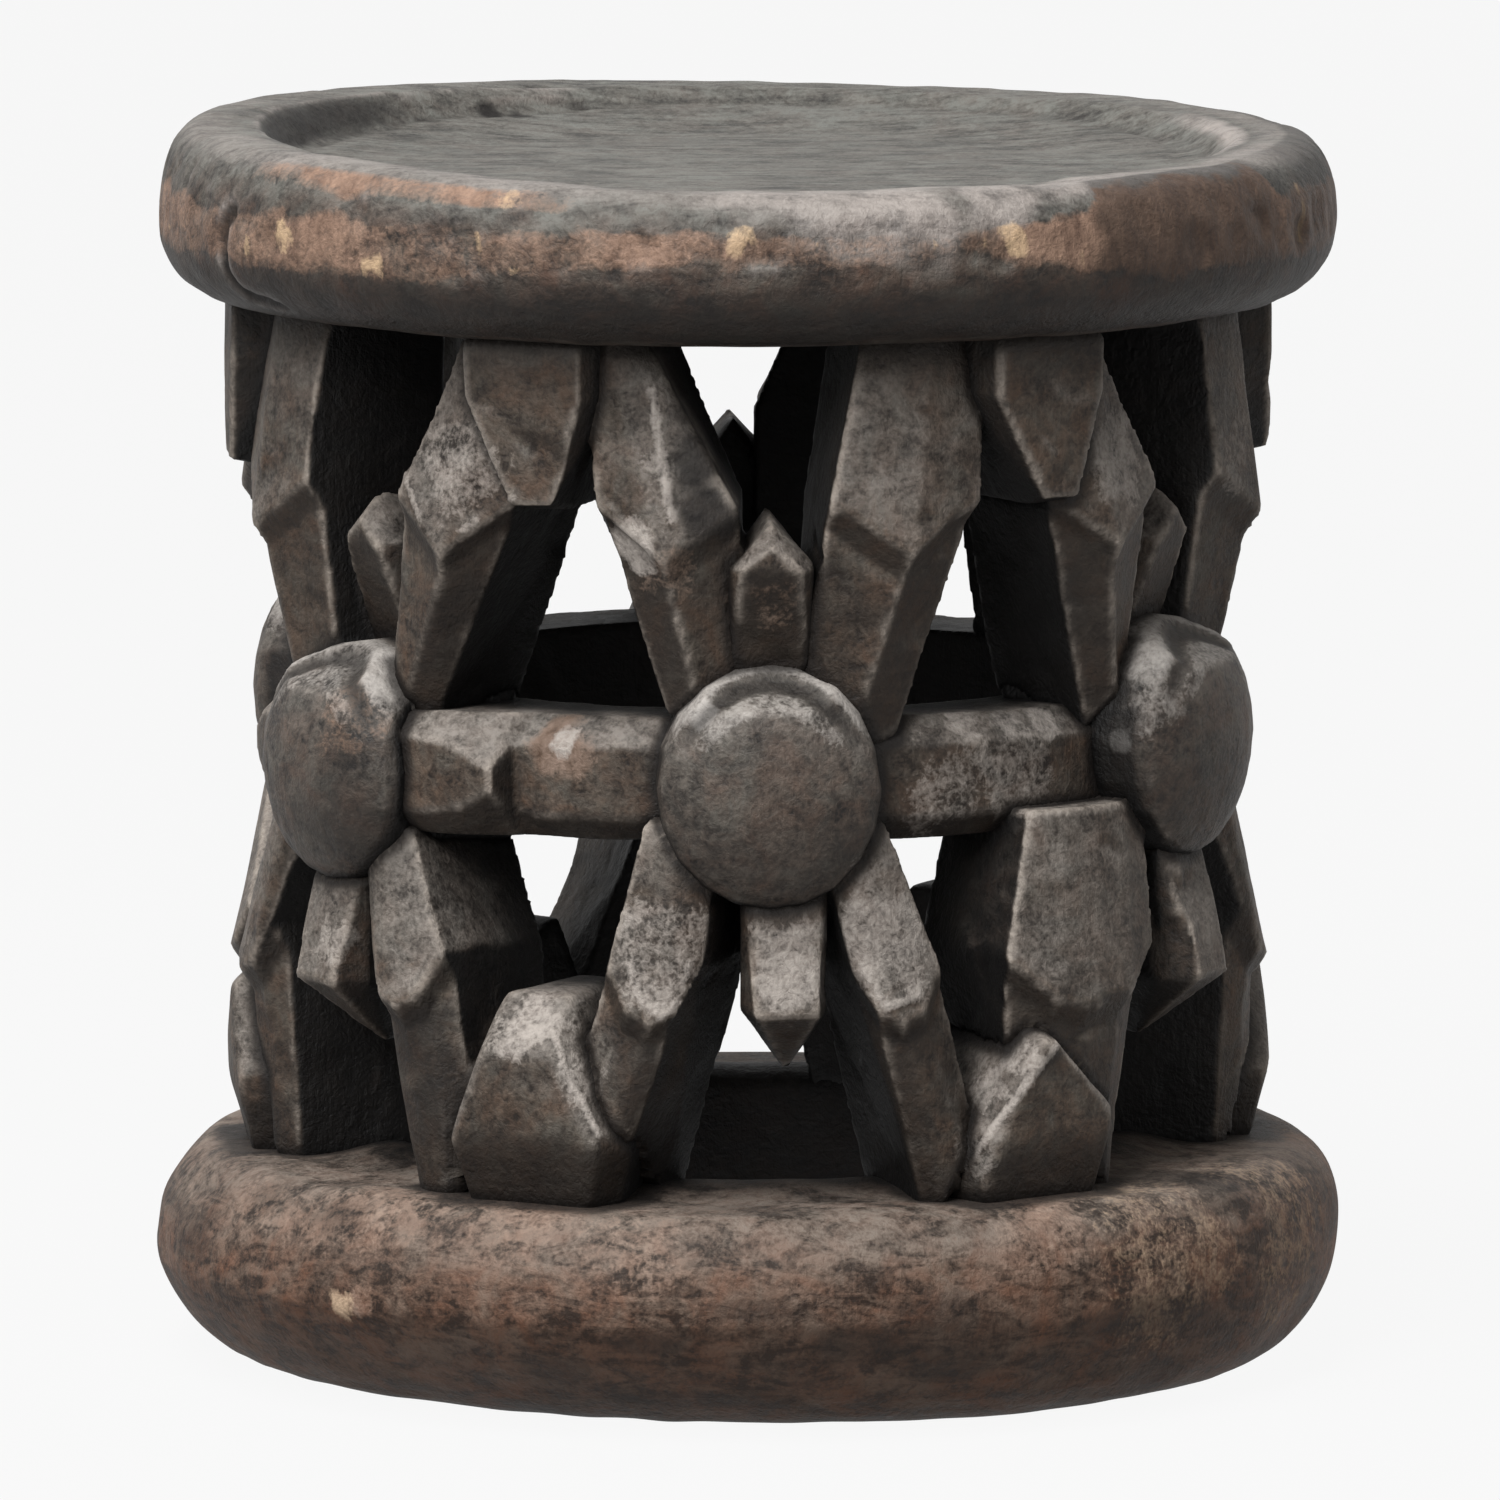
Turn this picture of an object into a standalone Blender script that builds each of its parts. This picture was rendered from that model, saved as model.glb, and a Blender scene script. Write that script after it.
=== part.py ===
"""A carved low stool: a dished round seat and a ring base joined by an openwork wall of six spiders.

Units are metres, +Z is up and the origin is the centre of the underside of the base.
The wall is laid out as a carver would mark it on a round block: by an angle round the block, a
height above the floor and a radius.  Angle 0 faces -Y and angles grow towards +X.
"""

import math
from dataclasses import dataclass, replace

import bmesh
import bpy
from mathutils import Matrix, Vector

# Seat and base
OVERALL_HEIGHT = 0.372
SEAT_DIAMETER = 0.361
SEAT_THICKNESS = 0.046
SEAT_WIDEST_DEPTH = 0.022
SEAT_UNDERSIDE_INSET = 0.0285
SEAT_CREST_INSET = 0.0125
DISH_INSET = 0.0295
DISH_FLOOR_INSET = 0.0395
DISH_DEPTH = 0.007
DISH_EDGE_DEPTH = 0.0012
RIM_SIDE_LIFT = 0.003
RIM_TILT = 0.005
RIM_TILT_ANGLE = -115.0
BASE_FLARE = 0.0015
BASE_THICKNESS = 0.066
BASE_WIDEST_HEIGHT = 0.038
BASE_TOP_INSET = 0.015
BASE_FOOT_INSET = 0.032
BASE_SHOULDER_DROP = 0.008
BASE_SHOULDER_DROP_ANGLE = -90.0
FOOT_WEAR = 0.012
FOOT_WEAR_ANGLE = -24.0
FOOT_WEAR_POWER = 6

# Openwork wall, drawn as a pattern for one seat and spread to the seat it is cut under
PATTERN_SEAT_DIAMETER = 0.361
WALL_SETBACK = 0.0205
WALL_DEPTH = 0.056
WALL_INSET = 0.002
FRONT_ANGLE = 2.6
SPIDER_COUNT = 6
BAND_CENTRE_SHARE = 0.5188
BAND_HEIGHT = 0.036
BAND_SETBACK = 0.020
BAND_ARM_SETBACK = 0.008
BAND_STEP_ANGLE = 1.2
BAND_CHAMFER = 0.007
BAND_STATION_ANGLE = 4.5
LUG_END_ANGLE = 9.0
LUG_ROUNDING = 0.008

# Body of a spider, with heights as shares of the space over or under the middle of the band
BODY_WIDTH = 0.067
BODY_HEIGHT = 0.073
BODY_RIM_SETBACK = 0.009
BODY_RISE = 0.0145
BODY_FACET_HEIGHT = 0.024
BODY_FACET_RISE = 0.0095
BODY_FACET_TILT = 58.0
HEAD_WIDTH = 0.028
HEAD_SHOULDER_SHARE = 0.504
HEAD_PEAK_SHARE = 0.609
HEAD_ROOT_SETBACK = 0.022
HEAD_FACE_SETBACK = 0.005
TAIL_WIDTH = 0.028
TAIL_SHOULDER_SHARE = 0.528
TAIL_TIP_SHARE = 0.693
TAIL_LEAN = 0.002
GEM_FACE_WIDTH = 0.019
GEM_FACE_RISE = 0.003
GEM_BACK_SETBACK = 0.044
GEM_EDGE_SETBACK = 0.012

# Legs of a spider, with the same shares
LEG_ROOT_HEIGHT = 0.011
UPPER_ROOT_SETBACK = 0.021
LOWER_ROOT_SETBACK = 0.012
LEG_FOOT_SETBACK = 0.016
LEG_RIDGE = 0.006
TONGUE_CROWN = 0.003
TONGUE_ROUNDING = 0.8
UPPER_KNEE_SHARE = 0.639
LOWER_KNEE_SHARE = 0.425
KNEE_SETBACK = 0.006
KNEE_POINT = 0.016
KNEE_STEP = 0.005
KNEE_UNDERCUT = 0.007

# Knobs under the seat and on the base, between the spiders
KNOB_SHIFT_ANGLE = 2.2
KNOB_EDGE_SETBACK = 0.014
TOP_KNOB_WIDTH = 0.050
TOP_KNOB_FACE = 0.038
TOP_KNOB_TIP = 0.012
BOTTOM_KNOB_WIDTH = 0.066
BOTTOM_KNOB_FACE = 0.048
BOTTOM_KNOB_TIP = 0.005
BLUNT_KNOB_TIP = 0.022
SEAM_OVERLAP = 0.012

# Fits and facets
JOINT_GAP = 0.0004
WELD_DISTANCE = 0.00001
SHARP_ANGLE = 32.0
SEAT_STEPS = 48
BODY_STEPS = 20
ARC_STEPS = 6

# Sizes that follow from those above
SEAT_RADIUS = SEAT_DIAMETER / 2
SEAT_UNDERSIDE = OVERALL_HEIGHT - SEAT_THICKNESS
BASE_RADIUS = SEAT_RADIUS + BASE_FLARE
WALL_SPREAD = SEAT_DIAMETER / PATTERN_SEAT_DIAMETER
BLOCK_RADIUS = PATTERN_SEAT_DIAMETER / 2 - WALL_SETBACK
HOLLOW_RADIUS = BLOCK_RADIUS - WALL_DEPTH
BODY_RIM_RADIUS = BLOCK_RADIUS - BODY_RIM_SETBACK
GEM_BACK_RADIUS = BLOCK_RADIUS - GEM_BACK_SETBACK
GEM_EDGE_RADIUS = BLOCK_RADIUS - GEM_EDGE_SETBACK
LEG_FOOT_RADIUS = BLOCK_RADIUS - LEG_FOOT_SETBACK
KNEE_RADIUS = BLOCK_RADIUS - KNEE_SETBACK
SPIDER_PITCH = 360.0 / SPIDER_COUNT
BAND_CENTRE_HEIGHT = BAND_CENTRE_SHARE * OVERALL_HEIGHT
UPPER_SPACE = SEAT_UNDERSIDE - BAND_CENTRE_HEIGHT
LOWER_SPACE = BAND_CENTRE_HEIGHT - BASE_THICKNESS
HEAD_SHOULDER = HEAD_SHOULDER_SHARE * UPPER_SPACE
HEAD_PEAK = HEAD_PEAK_SHARE * UPPER_SPACE
TAIL_SHOULDER = TAIL_SHOULDER_SHARE * LOWER_SPACE
TAIL_TIP = TAIL_TIP_SHARE * LOWER_SPACE


@dataclass(frozen=True)
class Leg:
    """A leg: angles from its spider, half widths at the body, knee and end, and its flank past the face."""

    angles: tuple
    half_widths: tuple
    flank: float = 0.0


@dataclass(frozen=True)
class Tooth:
    """A knob: its reach as a share of the space, its face's share of that, its tip, lean and shoulders."""

    reach_share: float
    face_share: float
    tip: float
    lean: float
    left_shoulder: float
    right_shoulder: float


@dataclass(frozen=True)
class Layout:
    """One spider: turns of it, its tail and its knobs, body lift, head set-back, band arm, tooth and legs."""

    turn: float
    tail_turn: float
    knob_turn: float
    body_lift: float
    head_setback: float
    arm_reach: float
    bottom_tooth: Tooth
    upper_left: Leg
    upper_right: Leg
    lower_left: Leg
    lower_right: Leg


# Layouts cut by eye, each a little different from the next
HANGING_TOOTH = Tooth(0.38, 0.94, TOP_KNOB_TIP, 0.004, 0.016, 0.016)
EVEN_TOOTH = Tooth(0.488, 0.80, BOTTOM_KNOB_TIP, 0.010, 0.020, 0.024)
BLUNT_TOOTH = Tooth(0.488, 0.76, BLUNT_KNOB_TIP, -0.001, 0.018, 0.020)
SLANTED_TOOTH = Tooth(0.415, 0.90, BOTTOM_KNOB_TIP, -0.001, 0.004, 0.026)
FRONT = Layout(
    turn=0.0,
    tail_turn=1.7,
    knob_turn=0.0,
    body_lift=0.0,
    head_setback=0.0,
    arm_reach=9.0,
    bottom_tooth=SLANTED_TOOTH,
    upper_left=Leg((-7.2, -11.8, -20.0), (0.0110, 0.0225, 0.007)),
    upper_right=Leg((9.9, 15.5, 19.0), (0.017, 0.025, 0.020)),
    lower_left=Leg((-10.0, -13.2, -25.5), (0.0125, 0.0150, 0.013), 0.0160),
    lower_right=Leg((9.8, 14.3, 24.5), (0.0115, 0.0140, 0.013), 0.0040),
)
RIGHT = Layout(
    turn=-1.0,
    tail_turn=0.0,
    knob_turn=0.0,
    body_lift=0.006,
    head_setback=0.008,
    arm_reach=9.0,
    bottom_tooth=EVEN_TOOTH,
    upper_left=Leg((-11.0, -17.0, -25.0), (0.010, 0.023, 0.018)),
    upper_right=Leg((11.0, 16.0, 17.0), (0.016, 0.027, 0.025)),
    lower_left=Leg((-17.5, -20.5, -20.0), (0.027, 0.031, 0.018)),
    lower_right=Leg((13.0, 25.0, 25.0), (0.015, 0.020, 0.016)),
)
LEFT = Layout(
    turn=2.0,
    tail_turn=0.0,
    knob_turn=0.0,
    body_lift=0.0,
    head_setback=0.012,
    arm_reach=24.5,
    bottom_tooth=BLUNT_TOOTH,
    upper_left=Leg((-12.0, -15.0, -14.0), (0.018, 0.028, 0.027)),
    upper_right=Leg((8.5, 20.6, 28.0), (0.011, 0.023, 0.017)),
    lower_left=Leg((-11.0, -20.0, -21.0), (0.013, 0.018, 0.016)),
    lower_right=Leg((7.0, 13.9, 18.4), (0.010, 0.015, 0.015)),
)
LEFT_BACK = replace(LEFT, knob_turn=-6.0, upper_right=Leg((8.5, 13.0, 8.5), (0.011, 0.018, 0.014)))
BACK = replace(
    FRONT,
    upper_right=Leg((6.0, 16.2, 21.0), (0.010, 0.016, 0.014)),
    lower_right=Leg((5.0, 13.0, 30.0), (0.009, 0.013, 0.016)),
)
RIGHT_BACK = replace(RIGHT, lower_left=Leg((-9.0, -13.0, -18.0), (0.013, 0.016, 0.016)))
LAYOUTS = (FRONT, RIGHT, LEFT_BACK, BACK, RIGHT_BACK, LEFT)


def clear_scene():
    """Remove every object that the file opened with."""
    for item in list(bpy.data.objects):
        bpy.data.objects.remove(item, do_unlink=True)


def new_collection(name):
    """Make a collection in the scene."""
    collection = bpy.data.collections.new(name)
    bpy.context.scene.collection.children.link(collection)
    return collection


def wood(name, colour, roughness):
    """Make a plain wood material."""
    material = bpy.data.materials.new(name)
    material.use_nodes = True
    shader = material.node_tree.nodes["Principled BSDF"]
    shader.inputs["Base Color"].default_value = (*colour, 1.0)
    shader.inputs["Roughness"].default_value = roughness
    shader.inputs["Metallic"].default_value = 0.0
    return material


def wall_point(angle, height, radius):
    """A point of the wall from its angle in degrees, its height and its radius in the pattern."""
    turn = math.radians(angle)
    reach = radius * WALL_SPREAD
    return Vector((reach * math.sin(turn), -reach * math.cos(turn), height))


def arc_angle(length):
    """The angle in degrees of a length along the outside of the block."""
    return math.degrees(length / BLOCK_RADIUS)


def arc(centre, radii, start, end):
    """Points of an ellipse's arc between two angles in degrees."""
    turns = [start + (end - start) * step / ARC_STEPS for step in range(ARC_STEPS + 1)]
    return [
        (
            centre[0] + radii[0] * math.cos(math.radians(turn)),
            centre[1] + radii[1] * math.sin(math.radians(turn)),
        )
        for turn in turns
    ]


def towards(point, angle):
    """How far round a point lies towards an angle in degrees: 1 at the angle and 0 opposite it."""
    turn = math.atan2(point.x, -point.y) - math.radians(angle)
    return (1.0 + math.cos(turn)) / 2


def mesh_from(shape, name):
    """Turn a bmesh into a mesh whose faces point out."""
    bmesh.ops.recalc_face_normals(shape, faces=shape.faces)
    mesh = bpy.data.meshes.new(name)
    shape.to_mesh(mesh)
    shape.free()
    return mesh


def turned_mesh(name, profile, steps, closed):
    """Turn a profile round +Z with a Screw modifier and return the turned mesh."""
    mesh = bpy.data.meshes.new(name)
    edges = [(index, index + 1) for index in range(len(profile) - 1)]
    if closed:
        edges.append((len(profile) - 1, 0))
    mesh.from_pydata([(radius, 0.0, height) for radius, height in profile], edges, [])
    blank = bpy.data.objects.new(name, mesh)
    bpy.context.scene.collection.objects.link(blank)
    screw = blank.modifiers.new("turn", "SCREW")
    screw.axis = "Z"
    screw.steps = steps
    screw.render_steps = steps
    screw.use_merge_vertices = True
    screw.merge_threshold = WELD_DISTANCE
    graph = bpy.context.evaluated_depsgraph_get()
    turned = bpy.data.meshes.new_from_object(blank.evaluated_get(graph))
    bpy.data.objects.remove(blank, do_unlink=True)
    turned.name = name
    return turned


def loft_mesh(name, rings, closed=False):
    """Join rings of equal counts with flat triangles, as a closed loop or with a cap at each end."""
    shape = bmesh.new()
    loops = [[shape.verts.new(point) for point in ring] for ring in rings]
    pairs = list(zip(loops, loops[1:]))
    if closed:
        pairs.append((loops[-1], loops[0]))
    else:
        shape.faces.new(loops[0])
        shape.faces.new(loops[-1])
    for first, second in pairs:
        for index in range(len(first)):
            after = (index + 1) % len(first)
            shape.faces.new((first[index], first[after], second[after], second[index]))
    bmesh.ops.triangulate(shape, faces=shape.faces)
    return mesh_from(shape, name)


def gem_mesh(name, points):
    """A faceted block: the flat cuts that wrap the given points."""
    shape = bmesh.new()
    for point in points:
        shape.verts.new(point)
    bmesh.ops.convex_hull(shape, input=shape.verts)
    loose = [vertex for vertex in shape.verts if not vertex.link_faces]
    bmesh.ops.delete(shape, geom=loose, context="VERTS")
    return mesh_from(shape, name)


def saw(mesh, point, direction):
    """Saw off what lies past a plane and close the cut."""
    shape = bmesh.new()
    shape.from_mesh(mesh)
    everything = shape.verts[:] + shape.edges[:] + shape.faces[:]
    cut = bmesh.ops.bisect_plane(
        shape, geom=everything, plane_co=point, plane_no=direction, clear_outer=True, dist=WELD_DISTANCE
    )
    rim = [item for item in cut["geom_cut"] if isinstance(item, bmesh.types.BMEdge)]
    bmesh.ops.holes_fill(shape, edges=rim)
    bmesh.ops.recalc_face_normals(shape, faces=shape.faces)
    shape.to_mesh(mesh)
    shape.free()
    return mesh


class Workshop:
    """Holds the finished pieces and the grown copies that cut their neighbours."""

    def __init__(self):
        self.pieces = new_collection("carved_spider_stool")
        self.cutters = new_collection("stool_cutters")
        self.cutter_of = {}

    def add(self, name, mesh, material, cut_by=(), smooth=False):
        """Add a piece, cut clear of the named neighbours by the joint gap."""
        mesh.materials.clear()
        mesh.materials.append(material)
        if smooth:
            mesh.shade_smooth()
            mesh.set_sharp_from_angle(angle=math.radians(SHARP_ANGLE))
        piece = bpy.data.objects.new(name, mesh)
        self.pieces.objects.link(piece)
        for neighbour in cut_by:
            boolean = piece.modifiers.new("clear_of_" + neighbour, "BOOLEAN")
            boolean.operation = "DIFFERENCE"
            boolean.solver = "EXACT"
            boolean.object = self.cutter(neighbour)
        return piece

    def cutter(self, name):
        """The copy of a piece's own block, grown by the joint gap, that cuts its neighbours."""
        if name not in self.cutter_of:
            grown = bpy.data.objects.new(name + "_cutter", self.pieces.objects[name].data)
            grown.hide_render = True
            grown.display_type = "WIRE"
            growth = grown.modifiers.new("joint_gap", "DISPLACE")
            growth.strength = JOINT_GAP
            growth.mid_level = 0.0
            self.cutters.objects.link(grown)
            self.cutter_of[name] = grown
        return self.cutter_of[name]


def rim_lift(point):
    """How far the seat's rim rises at a point: most at one side, less at the other, least between."""
    across = math.sin(math.atan2(point.x, -point.y))
    return RIM_SIDE_LIFT * across**2 + RIM_TILT * towards(point, RIM_TILT_ANGLE)


def seat_mesh():
    """The thick seat: a shallow dish, a round rim that lifts a little at the sides, a flat underside."""
    widest = OVERALL_HEIGHT - SEAT_WIDEST_DEPTH
    crest = SEAT_RADIUS - SEAT_CREST_INSET
    under = SEAT_RADIUS - SEAT_UNDERSIDE_INSET
    dish_floor = SEAT_RADIUS - DISH_FLOOR_INSET
    floor = OVERALL_HEIGHT - DISH_DEPTH
    edge = OVERALL_HEIGHT - DISH_EDGE_DEPTH
    upper = arc((crest, widest), (SEAT_CREST_INSET, SEAT_WIDEST_DEPTH), 90.0, 0.0)
    lower = arc((under, widest), (SEAT_UNDERSIDE_INSET, widest - SEAT_UNDERSIDE), 0.0, -90.0)
    dish = [(0.0, floor), (dish_floor, floor), (SEAT_RADIUS - DISH_INSET, edge)]
    mesh = turned_mesh("seat", dish + upper + lower[1:] + [(0.0, SEAT_UNDERSIDE)], SEAT_STEPS, False)
    for vertex in mesh.vertices:
        share = (vertex.co.z - widest) / SEAT_WIDEST_DEPTH
        if share > 0.0 and math.hypot(vertex.co.x, vertex.co.y) > dish_floor + JOINT_GAP:
            vertex.co.z += share * rim_lift(vertex.co)
    return mesh


def base_mesh():
    """The thick ring base, widest above its middle and drawn in to a foot that is worn back at one place."""
    top = BASE_RADIUS - BASE_TOP_INSET
    foot = BASE_RADIUS - BASE_FOOT_INSET
    upper = arc(
        (top, BASE_WIDEST_HEIGHT), (BASE_TOP_INSET, BASE_THICKNESS - BASE_WIDEST_HEIGHT), 90.0, 0.0
    )
    lower = arc((foot, BASE_WIDEST_HEIGHT), (BASE_FOOT_INSET, BASE_WIDEST_HEIGHT), 0.0, -90.0)
    bore_radius = HOLLOW_RADIUS * WALL_SPREAD
    bore = [(bore_radius, 0.0), (bore_radius, BASE_THICKNESS)]
    mesh = turned_mesh("base", upper + lower[1:] + bore, SEAT_STEPS, True)
    for vertex in mesh.vertices:
        reach = math.hypot(vertex.co.x, vertex.co.y)
        if vertex.co.z >= BASE_WIDEST_HEIGHT and reach > top + JOINT_GAP:
            share = (reach - top) / BASE_TOP_INSET
            vertex.co.z -= BASE_SHOULDER_DROP * share * towards(vertex.co, BASE_SHOULDER_DROP_ANGLE)
        elif vertex.co.z < BASE_WIDEST_HEIGHT and reach > bore_radius + JOINT_GAP:
            share = 1.0 - vertex.co.z / BASE_WIDEST_HEIGHT
            worn = FOOT_WEAR * share * towards(vertex.co, FOOT_WEAR_ANGLE) ** FOOT_WEAR_POWER
            vertex.co.xy *= (reach - worn) / reach
    return mesh


def spider_layout(number):
    """The layout of a spider, numbered from 1 at the front."""
    return LAYOUTS[(number - 1) % len(LAYOUTS)]


def spider_angle(number):
    """The angle of a spider, numbered from 1 at the front."""
    return FRONT_ANGLE + (number - 1) * SPIDER_PITCH + spider_layout(number).turn


def spread(start, end):
    """Angles from a start to an end, a band station apart or less, with both ends."""
    count = max(1, math.ceil((end - start) / BAND_STATION_ANGLE))
    return [start + (end - start) * index / count for index in range(count + 1)]


def band_stations():
    """Angles round the band with its radius and chamfer: proud round-ended arms, set back in between."""
    stations = []
    for number in range(1, SPIDER_COUNT + 1):
        reach = spider_layout(number).arm_reach
        following = spider_layout(number % SPIDER_COUNT + 1)
        centre = spider_angle(number)
        gap_start = centre + reach + BAND_STEP_ANGLE
        gap_end = FRONT_ANGLE + number * SPIDER_PITCH + following.turn - following.arm_reach - BAND_STEP_ANGLE
        proud = BLOCK_RADIUS - BAND_ARM_SETBACK
        for angle in spread(centre - reach, centre + reach):
            end_share = max(0.0, 1.0 - (reach - abs(angle - centre)) / LUG_END_ANGLE)
            stations.append((angle, proud, BAND_CHAMFER + LUG_ROUNDING * end_share**2))
        for angle in spread(gap_start, gap_end):
            stations.append((angle, BLOCK_RADIUS - BAND_SETBACK, BAND_CHAMFER))
    return stations


def band_mesh():
    """The belt round the middle of the wall, with chamfered edges and an arm either side of each body."""
    low = BAND_CENTRE_HEIGHT - BAND_HEIGHT / 2
    high = BAND_CENTRE_HEIGHT + BAND_HEIGHT / 2
    rings = []
    for angle, radius, chamfer in band_stations():
        section = [
            (HOLLOW_RADIUS, low),
            (radius - chamfer, low),
            (radius, low + chamfer),
            (radius, high - chamfer),
            (radius - chamfer, high),
            (HOLLOW_RADIUS, high),
        ]
        rings.append([wall_point(angle, height, reach) for reach, height in section])
    return loft_mesh("middle_band", rings, closed=True)


def body_mesh(name, angle, lift):
    """A spider's round body: a domed drum, cut with a sloping facet along its top edge."""
    half_width = BODY_WIDTH / 2
    dome = arc((0.0, BODY_RIM_RADIUS), (half_width, BODY_RISE), 90.0, 0.0)
    drum = [(half_width, HOLLOW_RADIUS), (0.0, HOLLOW_RADIUS)]
    mesh = turned_mesh(name, dome + drum, BODY_STEPS, False)
    mesh.transform(Matrix.Diagonal((1.0, BODY_HEIGHT / BODY_WIDTH, 1.0, 1.0)))
    tilt = math.radians(BODY_FACET_TILT)
    facet_point = Vector((0.0, BODY_FACET_HEIGHT, BODY_RIM_RADIUS + BODY_FACET_RISE))
    saw(mesh, facet_point, Vector((0.0, math.sin(tilt), math.cos(tilt))))
    outward = wall_point(angle, 0.0, 1.0)
    rightward = wall_point(angle + 90.0, 0.0, 1.0)
    upward = Vector((0.0, 0.0, 1.0))
    turn = Matrix((rightward, upward, outward)).transposed().to_4x4()
    mesh.transform(Matrix.Translation((0.0, 0.0, BAND_CENTRE_HEIGHT + lift)) @ turn)
    return mesh


def gem_points(angle, rows):
    """Wall points from rows of half width along the wall, height over the band's middle, and radius."""
    points = []
    for half_width, height, radius in rows:
        for side in (-half_width, half_width):
            points.append(wall_point(angle + arc_angle(side), BAND_CENTRE_HEIGHT + height, radius))
    return points


def head_mesh(name, angle, setback):
    """The head over the body: a post with a peaked top and a narrow face that leans out."""
    half_width = HEAD_WIDTH / 2
    half_face = GEM_FACE_WIDTH / 2
    inside = BODY_HEIGHT / 2 - SEAM_OVERLAP
    root = BLOCK_RADIUS - HEAD_ROOT_SETBACK - setback
    edge = GEM_EDGE_RADIUS - setback
    face = BLOCK_RADIUS - HEAD_FACE_SETBACK - setback
    rows = [(half_width, inside, GEM_BACK_RADIUS), (half_width, inside, root)]
    for radius in (GEM_BACK_RADIUS, edge):
        rows += [(half_width, HEAD_SHOULDER, radius), (0.0, HEAD_PEAK, radius)]
    rows.append((half_face, HEAD_SHOULDER, face))
    rows.append((0.0, (HEAD_SHOULDER + HEAD_PEAK) / 2, face))
    return gem_mesh(name, gem_points(angle, rows))


def tail_mesh(name, angle):
    """The tail under the body: a post with a long sloping face and a pointed end."""
    half_width = TAIL_WIDTH / 2
    half_face = GEM_FACE_WIDTH / 2
    inside = BODY_HEIGHT / 2 - SEAM_OVERLAP
    rows = []
    for radius in (GEM_BACK_RADIUS, GEM_EDGE_RADIUS):
        rows += [(half_width, -inside, radius), (half_width, -TAIL_SHOULDER, radius)]
    rows.append((half_face, -inside, GEM_EDGE_RADIUS + GEM_FACE_RISE))
    rows.append((half_face, -TAIL_SHOULDER, BLOCK_RADIUS))
    tip_radius = (GEM_BACK_RADIUS + GEM_EDGE_RADIUS) / 2
    tip = wall_point(angle + arc_angle(TAIL_LEAN), BAND_CENTRE_HEIGHT - TAIL_TIP, tip_radius)
    return gem_mesh(name, gem_points(angle, rows) + [tip])


def leg_stations(leg, upward):
    """A leg's stations from body to end: turn, half width, height, side radius, ridge radius, ridge drop."""
    sign = 1.0 if upward else -1.0
    knee_rise = UPPER_KNEE_SHARE * UPPER_SPACE if upward else -LOWER_KNEE_SHARE * LOWER_SPACE
    knee_height = BAND_CENTRE_HEIGHT + knee_rise
    end_height = SEAT_UNDERSIDE + SEAM_OVERLAP if upward else BASE_THICKNESS - SEAM_OVERLAP
    heights = (BAND_CENTRE_HEIGHT + sign * LEG_ROOT_HEIGHT, knee_height, end_height)
    root = BLOCK_RADIUS - (UPPER_ROOT_SETBACK if upward else LOWER_ROOT_SETBACK)
    crown = LEG_RIDGE if upward else TONGUE_CROWN
    ends = [
        (leg.angles[0], leg.half_widths[0], heights[0], root, root + crown, 0.0),
        (leg.angles[2], leg.half_widths[2], heights[2], LEG_FOOT_RADIUS, LEG_FOOT_RADIUS + LEG_RIDGE, 0.0),
    ]
    knee = (leg.angles[1], leg.half_widths[1], heights[1], KNEE_RADIUS, BLOCK_RADIUS, KNEE_POINT)
    below = 0 if upward else 2
    share = KNEE_UNDERCUT / abs(heights[below] - heights[1])
    undercut = (
        leg.angles[1] + share * (leg.angles[below] - leg.angles[1]),
        leg.half_widths[1] + share * (leg.half_widths[below] - leg.half_widths[1]),
        heights[1] - KNEE_UNDERCUT,
        KNEE_RADIUS - KNEE_STEP,
        BLOCK_RADIUS - KNEE_STEP,
        KNEE_POINT,
    )
    middle = [undercut, knee] if upward else [knee, undercut]
    return [ends[0]] + middle + [ends[1]]


def leg_mesh(name, angle, leg, upward):
    """A bent leg with a ridged face: out to a knee that overhangs what is below it, then back to its end."""
    inner = HOLLOW_RADIUS + WALL_INSET
    flank = arc_angle(leg.flank)
    rings = []
    for turn, half, height, side_radius, ridge_radius, drop in leg_stations(leg, upward):
        middle = angle + turn
        left = middle - arc_angle(half)
        right = middle + arc_angle(half)
        face = [wall_point(middle, height - drop, ridge_radius)]
        if not upward:
            round_height = height - TONGUE_ROUNDING * drop
            round_radius = side_radius + TONGUE_ROUNDING * (ridge_radius - side_radius)
            face.insert(0, wall_point((middle + right) / 2, round_height, round_radius))
            face.append(wall_point((middle + left) / 2, round_height, round_radius))
        rings.append(
            [
                wall_point(left - (flank if turn > 0.0 else 0.0), height, inner),
                wall_point(right + (flank if turn < 0.0 else 0.0), height, inner),
                wall_point(right, height, side_radius),
                *face,
                wall_point(left, height, side_radius),
            ]
        )
    mesh = loft_mesh(name, rings)
    if upward:
        return saw(mesh, Vector((0.0, 0.0, SEAT_UNDERSIDE - JOINT_GAP)), Vector((0.0, 0.0, 1.0)))
    return saw(mesh, Vector((0.0, 0.0, BASE_THICKNESS + JOINT_GAP)), Vector((0.0, 0.0, -1.0)))


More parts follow.
